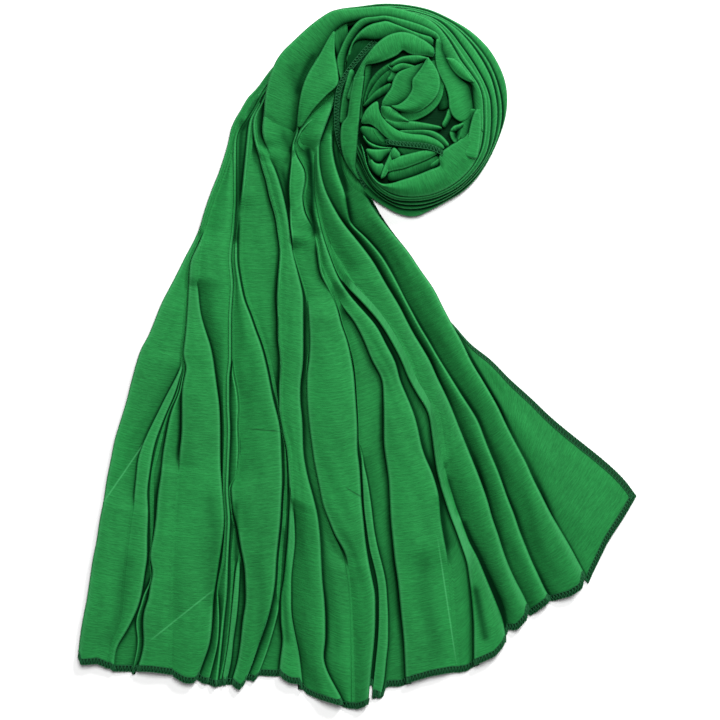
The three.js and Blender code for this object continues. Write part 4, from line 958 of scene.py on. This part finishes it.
ribbon("turn_1", SIL, inward(LINE4, 2.5), [6, 6, 6, 6, 6, 6, 6, 4], [8, 8, 8, 8, 8, 8, 8, 5], seed=1, nose=2.4, back=6, under=4.1, soft=1.3, tip=0, reach=0.3, crown=0.8)
ribbon("turn_2", LINE4, inward(LINE3, 2.5), [11, 11, 11, 11, 11, 11, 11, 6], [12.5, 12.5, 12.5, 12.5, 12.5, 12.5, 12.5, 7], seed=2, nose=2.0, back=6, under=4.1, soft=1.3, tip=0, reach=0.3, crown=0.8)
ribbon("turn_3", LINE3, inward(LINE2, 2.5), [16, 16, 16, 16, 16, 16, 16, 9], [17.5, 17.5, 17.5, 17.5, 17.5, 17.5, 17.5, 10], seed=3, nose=2.0, back=6, under=4.1, soft=1.3, tip=0, reach=0.3, crown=0.8)
ribbon("turn_4", LINE2, inward(LINE1, 2.5), [20, 20, 21, 21, 21, 21, 20, 13], [21, 21, 22, 22, 22, 22, 21, 14], seed=4, nose=1.9, back=6, under=4.1, soft=1.3, tip=0, reach=0.3, crown=0.8)
ribbon("turn_5", LINE1B, inward(LINE1, 3.0)[1:], [24, 25, 25, 25, 24, 24, 23, 16], [24, 25, 25, 25, 24, 24, 23, 16], seed=5, nose=1.6, back=5, under=4.1, soft=1.3, tip=0, reach=0.3, crown=0.5)
FILL = [(318, 25), (333, 15.5), (350, 11.5), (365, 10.2), (380, 9.4), (392, 10.4), (405, 13), (420, 18), (431, 23.5), (440, 31.5)]
# the cloth under the outer turns, painted half in shade by `dark`
ribbon("turn_under", FILL, inward(FILL, 16), 26.0, 25.0, seed=63, nose=2.3, back=10, crown=0.3, tip=0, dark=0.5)
# the neck's layers under that panel's outer edge, painted in shade by `dark`
LEFT = np.array([(267, 108), (269.5, 90), (273, 77.5), (279, 64), (285.5, 54.5), (294, 45.5), (303, 37), (312.5, 28.5), (324.5, 19.5), (338, 13)], float)
RIGHT_OF = LEFT + np.array([12.0, 6.0])
for j, (z_mid, z_low) in enumerate(((23.5, 14), (17.5, 10), (11.5, 6))):
    rim_z = [z_low, 0.45 * z_low + 0.55 * z_mid, z_mid - 1, z_mid, z_mid, z_mid, z_mid]
    ribbon("neck_left_%d" % (j + 1), LEFT + np.array([0.7, 0.4]) * j, RIGHT_OF, rim_z, rim_z, seed=64 + j, nose=2.3, back=8, crown=0.3, tip=0, dark=0.35)
# the broad top panel that comes over from the neck
ribbon("top_panel",
       [(265, 134), (264.3, 118), (265, 102), (267, 88), (270.5, 75), (276, 61.5), (282.5, 52), (291.5, 43), (300.5, 34.5), (310, 26), (322, 17), (334, 10.5), (352, 8.5), (365, 7.4), (380, 6.4), (392, 7.4), (405, 10.2), (420, 15.3), (431, 21), (440, 29), (449, 41), (455, 51), (461, 61), (470, 73), (478, 85), (482, 98), (483, 115), (483, 132)],
       [(289, 141), (296, 128), (299, 115), (301, 103), (303.5, 91), (308, 78), (314, 66), (321, 54), (328, 42), (335, 31), (341, 25.5), (347, 22.5), (355, 20.5), (364, 18.5), (375, 17.5), (385, 16.5), (400, 20), (419, 26), (430, 31), (436, 36), (439, 44), (441, 52), (445, 58), (452, 68.5), (460, 77), (471, 84), (473, 98), (474, 118)],
       [9, 20, 23.5, 26, 28, 29, 30, 30, 30, 30, 30, 30, 29.5, 29, 29, 28.5, 28], [7, 12, 14, 16, 19, 24, 29, 31, 31, 31, 31, 31, 30.5, 30, 29, 28.5, 28], tip=0, seed=6, nose=1.8, back=6, reach=0.16, crown=1.6, shade_b=0.85)
ribbon("big_panel",
       [(476, 110), (473, 121), (468, 132), (460, 139.5), (450, 146), (442, 152), (439, 158), (440, 165.5), (430, 170), (415, 176), (401, 180.5), (391, 183.5), (381, 183.5), (373, 177), (367, 166), (364, 152)],
       [(483, 108), (483.4, 122), (482, 140), (478, 155), (470, 169), (459, 180), (447, 188), (433, 193.8), (418, 196.4), (403, 196), (391, 192.5), (380, 186), (371, 176), (366, 164), (363, 152), (361, 144)],
       [29, 31, 32, 32, 31, 29, 27], [27, 27, 27, 27, 27, 26, 25], tip=0, seed=7, b_free=True, nose=1.8, back=6, crown=3.0)
ribbon("loop_strip", [(464, 156), (467, 142), (470, 127), (473, 116), (476, 109)], [(477, 160), (479.5, 146), (481, 131), (481, 118), (480, 110)], 33, 31, seed=8, b_free=True, crown=0.8)
ribbon("loop_inner", [(458, 138), (461, 127), (463, 117), (467, 109.5), (474, 108.5)], [(468, 142), (469, 131), (471, 122), (474, 115), (477, 112)], 31.5, 30, seed=9, crown=0.8, dark=0.25)
# thin strips under the top panel
ribbon("strip_1",
       [(341, 82), (337, 61), (341, 48), (347, 35.5), (353, 27), (358, 21.5), (364, 18), (375, 16.7), (385, 15.7), (400, 18.7), (420, 24.6), (432, 30), (438, 34), (441, 41), (442, 51)],
       [(345, 80), (345, 62), (348, 49), (354, 38), (361, 29), (368, 24), (378, 22), (385, 21), (392, 23.5), (400, 27), (415, 32), (429, 36), (435, 39), (437, 45), (438, 54)],
       [20, 24, 29, 32.5, 33.5, 33.5, 33, 32], [19, 22, 27, 31.5, 32.5, 32.5, 32, 31], seed=10, nose=1.3, crown=0.6, reach=0.25)
ribbon("strip_2",
       [(346, 62), (350, 48), (356, 36.5), (364, 28.5), (372, 24.2), (380, 22.2), (386, 21.2), (395, 24.2), (405, 28.2), (418, 33.2), (433, 37.5)],
       [(352, 62), (353, 48), (356, 42), (364, 39), (375, 39.5), (384, 38.5), (392, 35.5), (400, 33.5), (409, 35.5), (420, 40), (433, 47)],
       [25, 30, 34, 35, 35, 34], [23, 27, 31, 32, 33, 31], seed=11, nose=1.3, crown=0.9, reach=0.2)
# under_top and pocket are painted dark by `dark`: painted shade in the gap under the strips
ribbon("under_top", [(332, 31), (338, 24), (347, 19.5)], [(337, 56), (341.5, 47), (348, 36)], 25.5, 24.5, seed=62, dark=0.3, a_free=False, tip=0)
ribbon("pocket", [(352, 38), (366, 39), (380, 39)], [(344, 78), (352, 70), (362, 60)], 25.5, 24.5, tip=0, seed=12, dark=0.80, a_free=False)
TWIST_A = [(333, 31), (326, 43), (319.5, 55), (309, 72), (303, 86), (299.5, 102), (298, 116), (297.5, 127)]
TWIST_B = [(335, 32), (334.5, 44), (335, 57), (337.5, 71), (337.5, 84), (326, 95.5), (313.5, 109), (301, 127)]
ribbon("twist", TWIST_A, TWIST_B, [29, 31, 31.5, 31, 29.5, 27, 23.5, 19.5], [29, 30, 30.5, 30.5, 29.5, 28.5, 25, 19.5], b_free=True, crown=1.6, nose=1.5, back=5, seed=60, tip=0)
BAND = [(376, 41.5), (365, 52), (355.5, 63), (347.5, 73), (341.5, 82.5), (338, 92), (336.4, 105), (336, 118), (337, 132), (340, 144.5), (345.5, 156.5), (352, 166), (359, 176), (367, 187)]
BAND_Z = [26.5, 26.5, 26.5, 26, 25.5, 24.5, 22, 19, 15.5, 12.5, 9.5, 8, 7, 6]
band_line = np.array(BAND, float)
step = np.gradient(band_line, axis=0)
step /= np.linalg.norm(step, axis=1, keepdims=True)
off = np.stack([-step[:, 1], step[:, 0]], 1)
half = np.interp(np.arange(len(BAND)), [0, 3, 5, 9, 13], [1.4, 2.0, 3.0, 2.7, 2.2])[:, None]
ribbon("neck_band", band_line - off * half, band_line + off * half, BAND_Z, BAND_Z, crown=0.2, nose=0.9, back=2, seed=61, dark=0.86, tip=0, b_free=False, shade_b=0.9, under=0.2, soft=1.0)


# the bright petal and the column that comes down from it
ribbon("petal_1",
       [(346, 100), (349, 90), (353, 80), (358, 70), (363, 61), (368, 54), (374, 46.5), (381, 40), (388, 35.5), (395, 33), (403, 32), (412, 34), (420, 38), (428, 43), (435, 49)],
       [(362, 100), (362, 90), (363, 80), (364, 71), (366, 65), (372, 63.8), (380, 62), (390, 58.4), (397, 55), (403, 50), (408, 52.8), (414, 55), (421, 55.4), (428, 56), (434, 58)],
       [29, 33, 36, 38, 38, 37, 35], [30, 34, 36, 36, 36, 35, 34], seed=13, b_free=True, nose=1.6, crown=2.2)
ribbon("column",
       [(354, 78), (351, 92), (349, 105), (347, 117), (342, 124), (340.5, 136), (341.5, 148), (345, 160), (351, 170), (357, 178)],
       [(364, 76), (362, 92), (360, 107), (359, 120), (358, 132), (357, 145), (356, 157), (355.5, 166), (357, 173), (360, 180)],
       [36, 33, 29, 25, 21, 16, 12], [36, 33, 30, 26, 22, 17, 12], tip=0, seed=14, b_free=True, nose=1.6, crown=1.6)
ribbon("side_strip", [(350, 68), (345.5, 84), (342.5, 97), (340.5, 110), (339.5, 124)], [(355, 72), (352, 86), (350, 98), (349, 109), (347, 122)], [28, 27, 24, 21, 18], [27, 26, 23, 20, 17], seed=15, crown=0.8)
# the dark spiral left of the heart, painted in shade by `dark`
ribbon("spiral_1", [(365, 64), (364.5, 78), (363, 92), (361, 108), (360, 122)], [(372, 64), (371, 77), (368, 88), (365, 99), (364, 112)], [31, 31, 29, 26, 24], [30, 29, 27, 25, 23], seed=16, dark=0.45, crown=0.6)
ribbon("spiral_2", [(396, 60), (386, 65), (377, 72), (370, 81), (366, 91), (363, 103)], [(399, 66), (390, 71), (381, 78), (374, 86), (369, 95), (366, 105)], 31, 29, seed=17, dark=0.50, crown=0.6)
ribbon("spiral_3", [(391, 68), (383, 74), (376, 82), (371, 90), (366, 99)], [(396, 76), (389, 81), (382, 87), (376, 94), (370, 101)], 30, 28, seed=18, dark=0.55, crown=0.6)
ribbon("spiral_4", [(392, 82), (384, 86), (376, 91), (369, 98), (363, 104)], [(390, 92), (384, 95), (377, 99), (371, 103), (364, 108)], 30.5, 28, seed=19, dark=0.30, crown=0.8)
ribbon("curl_1", [(386, 65.5), (390.5, 69), (390, 75), (386, 80)], [(391, 66), (396, 71), (397, 77), (391, 83)], 33, 31, seed=20, dark=0.15, crown=0.6)
# the heart
ribbon("heart_back", [(436, 60), (441, 70), (444, 82), (443, 93), (439, 103), (432, 111), (423, 117), (412, 121), (402, 120.5)], [(429, 62), (434, 72), (436, 82), (434, 92), (429, 99), (422, 105), (414, 109), (406, 111), (400, 110)], 33, 35, seed=21, crown=0.8, dark=0.12)
ribbon("heart_top", [(388, 66), (394, 61), (402, 57), (411, 55.5), (420, 55.6), (429, 58)], [(396, 66), (402, 63.5), (408, 63), (414, 64), (420, 62), (427, 59.5)], [34, 37, 38, 38.5, 39], [34, 35, 36, 37, 38], seed=22, crown=0.8, reach=0.25)
ribbon("heart_top_low", [(390, 70), (396, 65), (402, 63), (410, 64.4), (418, 66.5), (424, 63)], [(396, 73), (401, 70), (406, 70), (412, 70), (418, 69.5), (423, 67)], 36, 35, seed=23, crown=0.6, dark=0.12)
ribbon("lobe_left", [(416, 66), (408, 68.5), (400, 71.5), (396, 75), (393, 81), (391, 88), (387, 94), (383, 100), (381, 107)], [(425, 62), (420, 70), (416, 77), (413.5, 82), (413, 89), (410, 96), (404, 102), (396, 106), (387, 107.5)], [38, 39, 39, 38, 37], [38, 39, 38, 37, 35], seed=24, nose=1.5, crown=2.0, reach=0.14)
ribbon("lobe_right", [(427.5, 57.5), (421.5, 67.5), (415, 76), (412.3, 80), (412, 89), (408.5, 96), (403.5, 101.5), (396, 105.5), (388, 105)], [(428, 57.5), (434, 65), (438.5, 74), (440, 83), (438.5, 92), (433.5, 100), (426, 107), (416, 112.5), (404, 113)], [40, 42, 42, 41, 38], [40, 40, 39, 38, 36], seed=25, b_free=True, nose=1.5, crown=3.0)
ribbon("lobe_low", [(382, 104), (389, 106.3), (396, 111), (402, 116), (410, 121)], [(380.5, 112), (384, 118), (390, 121.3), (398, 122.4), (407, 121.6)], 38, 34, seed=26, b_free=True, crown=1.2)
# the crescents below it
ribbon("leaf_low", [(384, 118), (397, 121.6), (410, 121.2), (425, 123.2), (441, 126.5)], [(386, 123), (396, 128.8), (410, 131), (425, 130.4), (442, 130)], 34.5, 33, seed=27, crown=0.9, reach=0.2)
ribbon("crescent_2", [(398, 130.5), (415, 128.8), (430, 130.2), (441, 135.4), (450, 145)], [(402, 134), (415, 135), (428, 136.2), (439, 141.8), (445, 147.6)], 33.5, 32, seed=28, crown=0.7)
ribbon("crescent", [(361, 120), (367, 109), (377, 101.5), (378.5, 109), (382, 117), (389, 124.5), (398, 130.6), (410, 133.8), (425, 135.4), (437, 140), (445, 146.5)], [(362, 124), (370, 124), (377, 128.6), (383, 134.4), (388, 138.6), (393, 141), (400, 142.4), (410, 143), (420, 144), (431, 146.4), (442, 150.6)], [33, 35, 35, 34.5, 34, 33], [31, 33, 33, 33, 32.5, 32], seed=29, b_free=True, crown=1.6)
ribbon("edge_strip", [(384, 138), (393, 140.6), (405, 141.6), (420, 142.8), (432, 144.8), (443, 150.4)], [(388, 145.8), (399, 147), (413, 148.4), (427, 150), (436, 151.6), (443, 154)], 34.2, 33.6, seed=30, crown=0.3, dark=0.84)
ribbon("under_edge", [(396, 146), (406, 147.5), (418, 148.8), (430, 149.8)], [(402, 156), (410, 155), (419, 153.5), (430, 152)], 30.5, 29.5, seed=31, crown=0.4, dark=0.22)
ribbon("tongue_1", [(384, 163), (391, 158.6), (401, 156), (415, 152.4), (428, 149.6), (438, 150.6)], [(386, 173), (393, 170.6), (403, 168.6), (416, 164), (428, 159), (438, 153.6)], [31, 33, 33.5, 33, 31.5], [31, 32, 32, 32, 31], seed=32, b_free=True, crown=1.6)
ribbon("tongue_2", [(388, 172), (401, 169.5), (415, 164.8), (428, 159.8), (438, 155)], [(388, 182), (401, 180), (415, 175.5), (429, 170), (441, 164)], 29.5, 28, seed=33, crown=0.8, dark=0.42)
ribbon("tongue_3", [(430, 164), (436, 160), (440, 156.6)], [(430, 169), (437, 166), (441, 162)], 30.5, 29.5, seed=34, crown=0.5, dark=0.1)
# folded corners at the lower left
ribbon("corner_1", [(360, 126), (368, 126.8), (376, 129), (383, 137), (390, 144)], [(362, 134), (367, 139.5), (375, 144), (384, 146.4), (392, 147)], 31, 30, seed=35, crown=0.7, dark=0.35)
ribbon("corner_1b", [(372, 129), (376, 136), (382, 143)], [(378, 129), (383, 136), (389, 143.5)], 32.5, 31.5, seed=36, crown=0.5, dark=0.2)
ribbon("corner_2", [(363, 134), (367, 140.4), (375, 145), (384, 147.2), (392.5, 147.2)], [(364, 140), (369, 146), (376, 148.6), (385, 149.4), (392, 148.4)], 32, 31, seed=37, crown=0.5)
ribbon("corner_3", [(365, 148), (372, 149.4), (382, 149.2), (393, 146.8)], [(369, 156), (375, 161.5), (381, 161.5), (388, 154)], 31.5, 30.5, seed=38, crown=1.0)
ribbon("corner_4", [(393, 146), (398, 151), (401.5, 155.5)], [(389, 158), (391, 159.6), (393, 160)], 34, 33, seed=39, crown=0.8)
ribbon("corner_5", [(392.5, 147), (388.5, 157), (383.5, 168), (380, 178.5)], [(396, 156), (393, 162), (389, 170), (384, 178)], 33.5, 32, seed=40, b_free=True, crown=0.8)
ribbon("corner_6", [(371, 157), (374, 162), (379, 164), (384.5, 162.5)], [(369, 166), (372, 171), (377, 175.5), (381, 178)], 30.5, 29, seed=41, crown=0.8)
ribbon("corner_7", [(366, 150), (368, 158), (369.5, 166), (376, 174)], [(371, 150), (372, 158), (374, 165), (380, 172)], 28.5, 27.5, seed=42, crown=0.5, dark=0.35)
# petals on the right
ribbon("petal_2", [(436.5, 37.5), (435.5, 50), (435.5, 60), (437.5, 70), (441.5, 79), (445.5, 87), (448.5, 97), (449.5, 108), (453, 116), (458.5, 120.6), (464, 122)], [(442.5, 42), (443, 52), (447, 61), (453, 71), (460, 79), (468, 86), (471, 95), (472.5, 104), (473, 110), (473, 113), (472, 116)], [36, 37, 37, 36, 35, 33], [33, 32, 31, 31, 30, 30], seed=43, crown=1.5, reach=0.3, shade_b=0.8)
ribbon("petal_3", [(446, 57.6), (453, 58.2), (459, 62), (466, 70), (474, 81)], [(446.5, 59), (452, 69), (459, 76.4), (467, 80.8), (474, 83)], 34, 33, seed=44, b_free=True, crown=1.4)
ribbon("curl_2", [(448, 108), (446.5, 114), (444, 120), (441, 125)], [(453, 110), (451.5, 117), (448.5, 123), (446, 129)], 33, 32, seed=45, crown=0.5)
ribbon("curl_3", [(450, 130), (454, 126), (459, 124.4), (463, 122)], [(451, 133), (456, 131), (461, 128.6), (465, 125)], 33, 32, seed=46, crown=0.4)
ribbon("curl_4", [(449, 131), (451, 138), (455, 144)], [(454, 131), (456.5, 137), (459, 141)], 32.5, 31.5, seed=47, crown=0.4)
ribbon("curl_5", [(459, 141), (462, 132), (464, 122), (466, 113)], [(454, 142), (457, 133), (460, 126), (463, 119)], 31.5, 30.5, seed=48, crown=0.4, dark=0.3)
# the inner layer on the right, painted in shade by `dark`
ribbon("inner_right", [(436, 47), (438, 60), (443, 76), (446, 92), (449, 108)], [(430, 50), (431, 62), (437, 78), (439, 95), (438, 112)], 30, 28, seed=49, a_free=False, dark=0.7)


def joined(name, ribbons, material, thick):
    """Ribbons as one mesh."""
    verts, faces, cuts, painted_light_and_band_values, base = [], [], [], [], 0
    for _, pts, cut, d in ribbons:
        r_, c_ = pts.shape[:2]
        idx = base + np.arange(r_ * c_).reshape(r_, c_)
        faces.append(np.stack([idx[:-1, :-1], idx[1:, :-1], idx[1:, 1:], idx[:-1, 1:]], -1).reshape(-1, 4))
        verts.append(pts.reshape(-1, 3)); cuts.append(cut.reshape(-1, 3)); painted_light_and_band_values.append(d.reshape(-1))
        base += r_ * c_
    verts, faces, cuts, painted_light_and_band_values = (np.concatenate(q) for q in (verts, faces, cuts, painted_light_and_band_values))
    mesh = bpy.data.meshes.new(name)
    mesh.vertices.add(len(verts))
    mesh.vertices.foreach_set("co", verts.reshape(-1).astype(np.float32))
    mesh.loops.add(len(faces) * 4)
    mesh.polygons.add(len(faces))
    mesh.loops.foreach_set("vertex_index", faces.reshape(-1).astype(np.int32))
    mesh.polygons.foreach_set("loop_start", np.arange(0, len(faces) * 4, 4, dtype=np.int32))
    mesh.polygons.foreach_set("use_smooth", np.ones(len(faces), bool))
    mesh.attributes.new("cut", "FLOAT_VECTOR", "POINT").data.foreach_set("vector", cuts.reshape(-1).astype(np.float32))
    mesh.attributes.new("rim", "FLOAT", "POINT").data.foreach_set("value", np.full(len(verts), 999.0, np.float32))
    # painted light per point: painted shade, painted highlight, and the overlock band's dark colour
    mesh.attributes.new("painted_light_and_band", "FLOAT", "POINT").data.foreach_set("value", painted_light_and_band_values.astype(np.float32))
    mesh.update()
    mesh.validate()
    mesh.materials.append(material)
    obj = bpy.data.objects.new(name, mesh)
    bpy.context.scene.collection.objects.link(obj)
    mod = obj.modifiers.new("thickness", "SOLIDIFY")
    mod.thickness = thick / 1000.0
    mod.offset = 0
    mod.use_rim = True
    return obj


def core(name, outlines, material):
    """A closed heap of hidden layers, from the floor outline up to the top. outlines: closed loops (n, 3) on the board, the last one small."""
    loops = [place(q[:, 0], q[:, 1], q[:, 2]) for q in outlines]
    n = len(loops[0])
    verts = np.concatenate(loops)
    faces = [tuple(range(n))[::1]]
    for i in range(len(loops) - 1):
        for j in range(n):
            k = (j + 1) % n
            faces.append((i * n + j, (i + 1) * n + j, (i + 1) * n + k, i * n + k))
    faces.append(tuple((len(loops) - 1) * n + j for j in range(n))[::-1])
    mesh = bpy.data.meshes.new(name)
    mesh.from_pydata([tuple(v) for v in verts], [], faces)
    for p in mesh.polygons:
        p.use_smooth = True
    mesh.attributes.new("cut", "FLOAT_VECTOR", "POINT").data.foreach_set("vector", verts.reshape(-1).astype(np.float32))
    mesh.attributes.new("rim", "FLOAT", "POINT").data.foreach_set("value", np.full(len(verts), 999.0, np.float32))
    # the hidden heap is painted in shade
    mesh.attributes.new("painted_light_and_band", "FLOAT", "POINT").data.foreach_set("value", np.full(len(verts), 0.75, np.float32))
    mesh.update()
    mesh.materials.append(material)
    obj = bpy.data.objects.new(name, mesh)
    bpy.context.scene.collection.objects.link(obj)
    return obj


# the heap's outline also reaches into the dark gap between the neck and the coil, where its shaded cloth stands in for
# shade
HEAP = [(337, 42), (339, 31), (346, 22), (355, 16.5), (368, 12.5), (390, 11), (412, 13), (438, 23), (462, 38), (480, 58), (492, 83), (495, 110), (489, 137), (475, 162), (457, 181), (435, 195), (415, 204), (398, 204.5),
        (388, 202), (379, 197), (370, 189), (360, 176), (349, 159), (340, 144), (335, 125), (335.5, 105), (337, 85), (337, 62)]
heap = curve(HEAP + HEAP[:1], 97)[:-1]
middle = np.array([418.0, 108.0])
layers = []
for share, z in ((0.985, 0.0), (1.0, 2.5), (0.99, 5), (0.97, 8), (0.95, 10.5), (0.925, 13), (0.90, 15), (0.87, 17.5), (0.83, 21), (0.77, 24.5), (0.7, 26), (0.5, 26.5), (0.3, 26.5)):
    q = middle + (heap - middle) * share
    low_side = 1 - 0.45 * smooth((374 - q[:, 0]) / 22) * smooth((q[:, 1] - 62) / 34)
    layers.append(np.concatenate([q, (z * low_side)[:, None]], 1))
coil_core = core("coil_core", layers, JERSEY_SHADED)
piece(coil_core, ("coil_hidden_layers",))
# under the neck, the same
ny = np.linspace(38, 214, 40)
nl = np.interp(ny, FY[:, 0], FX[:, 0]) + 4.0
nr = np.interp(ny, FY[:, -1], FX[:, -1]) - 2.0
nh = np.interp(ny, [r[0] for r in RISE], [r[1] for r in RISE])
left = np.stack([nl, ny], 1)
right = np.stack([nr, ny], 1)[::-1]
outline = np.concatenate([left, right])
tops = np.concatenate([nh, nh[::-1]])
spine = np.concatenate([(left + right[::-1]) / 2, ((left + right[::-1]) / 2)[::-1]])
layers = []
for share, hgt in ((0.0, 0.0), (0.02, 0.12), (0.10, 0.38), (0.25, 0.62), (0.45, 0.80), (0.8, 0.90)):
    q = outline + (spine - outline) * share
    layers.append(np.concatenate([q, np.maximum(tops * hgt - 1.2, 0.0 if hgt == 0 else 0.25 + 0.3 * hgt)[:, None]], 1))
neck_core = core("neck_core", layers, JERSEY_SHADED)
piece(neck_core, ("neck_hidden_layers",))
loops = []
for which, wide_ in (("edge_strip", 5.0), ("neck_band", 4.6)):
    rows_ = next(q for q in RIBBONS if q[0] == which)[1] * 1000.0
    e, w_, u_ = edge_frame(rows_[:, 5], rows_[:, -2], 3.2)
    u_ = np.where(u_[:, 2:3] < 0, -u_, u_)
    loops += overlock(e, w_, u_, width=wide_, lift=0.7)
inner_threads = tubes("overlock_coil", [t / 1000.0 for t in loops], 0.00036, THREAD, 4)
piece(inner_threads)
turns = joined("coil_turns", RIBBONS[:10], JERSEY, 0.7)
petals = joined("coil_petals", RIBBONS[10:], JERSEY, 0.7)
piece(turns, ("coil_outer_turn",))
piece(petals, ("coil_inner_turn", "heart_right", "heart_left", "coil_edge"))
print("coil turns area", sum(area_of(r[1]) for r in RIBBONS[:10]), "petals area", sum(area_of(r[1]) for r in RIBBONS[10:]))

# ---- floor, light and camera ----
floor_mesh = bpy.data.meshes.new("floor")
R = 6.0
floor_mesh.from_pydata([(-R, -R, -0.0006), (R, -R, -0.0006), (R, R, -0.0006), (-R, R, -0.0006)], [], [(0, 1, 2, 3)])
floor = bpy.data.objects.new("floor", floor_mesh)
bpy.context.scene.collection.objects.link(floor)
fm, fnt, fb = principled("floor_white")
fb.inputs["Base Color"].default_value = (0.93, 0.93, 0.93, 1)
fb.inputs["Roughness"].default_value = 0.85
fb.inputs["Specular IOR Level"].default_value = 0.1
floor_mesh.materials.append(fm)


def area(name, where, target, size, power):
    data = bpy.data.lights.new(name, "AREA")
    data.shape = "DISK"
    data.size = size
    data.energy = power
    obj = bpy.data.objects.new(name, data)
    obj.location = where
    from mathutils import Vector
    obj.rotation_euler = (Vector(target) - Vector(where)).to_track_quat("-Z", "Y").to_euler()
    bpy.context.scene.collection.objects.link(obj)
    return obj


area("key", (1.3, 2.2, 1.7), (0, 0, 0), 0.8, 85)
area("overhead", (0.3, 1.3, 3.3), (0, 0, 0), 1.8, 120)
sky = bpy.data.worlds.new("studio")
sky.use_nodes = True
sky.node_tree.nodes["Background"].inputs["Color"].default_value = (1, 1, 1, 1)
sky.node_tree.nodes["Background"].inputs["Strength"].default_value = 0.25
scene = bpy.context.scene
scene.world = sky
scene.view_settings.view_transform = "Standard"
scene.view_settings.look = "None"

cam_data = bpy.data.cameras.new("camera")
cam_data.sensor_width = 36.0
cam_data.sensor_fit = "HORIZONTAL"
cam_data.lens = 120.0
cam_data.clip_start = 0.05
cam_data.clip_end = 20.0
cam = bpy.data.objects.new("camera", cam_data)
cam.location = ((EYE_X - BOARD_X) / 1000.0, (BOARD_Y - EYE_Y) / 1000.0, EYE_UP / 1000.0)
cam.rotation_euler = (0, 0, 0)
scene.collection.objects.link(cam)
scene.camera = cam

bpy.context.view_layer.update()
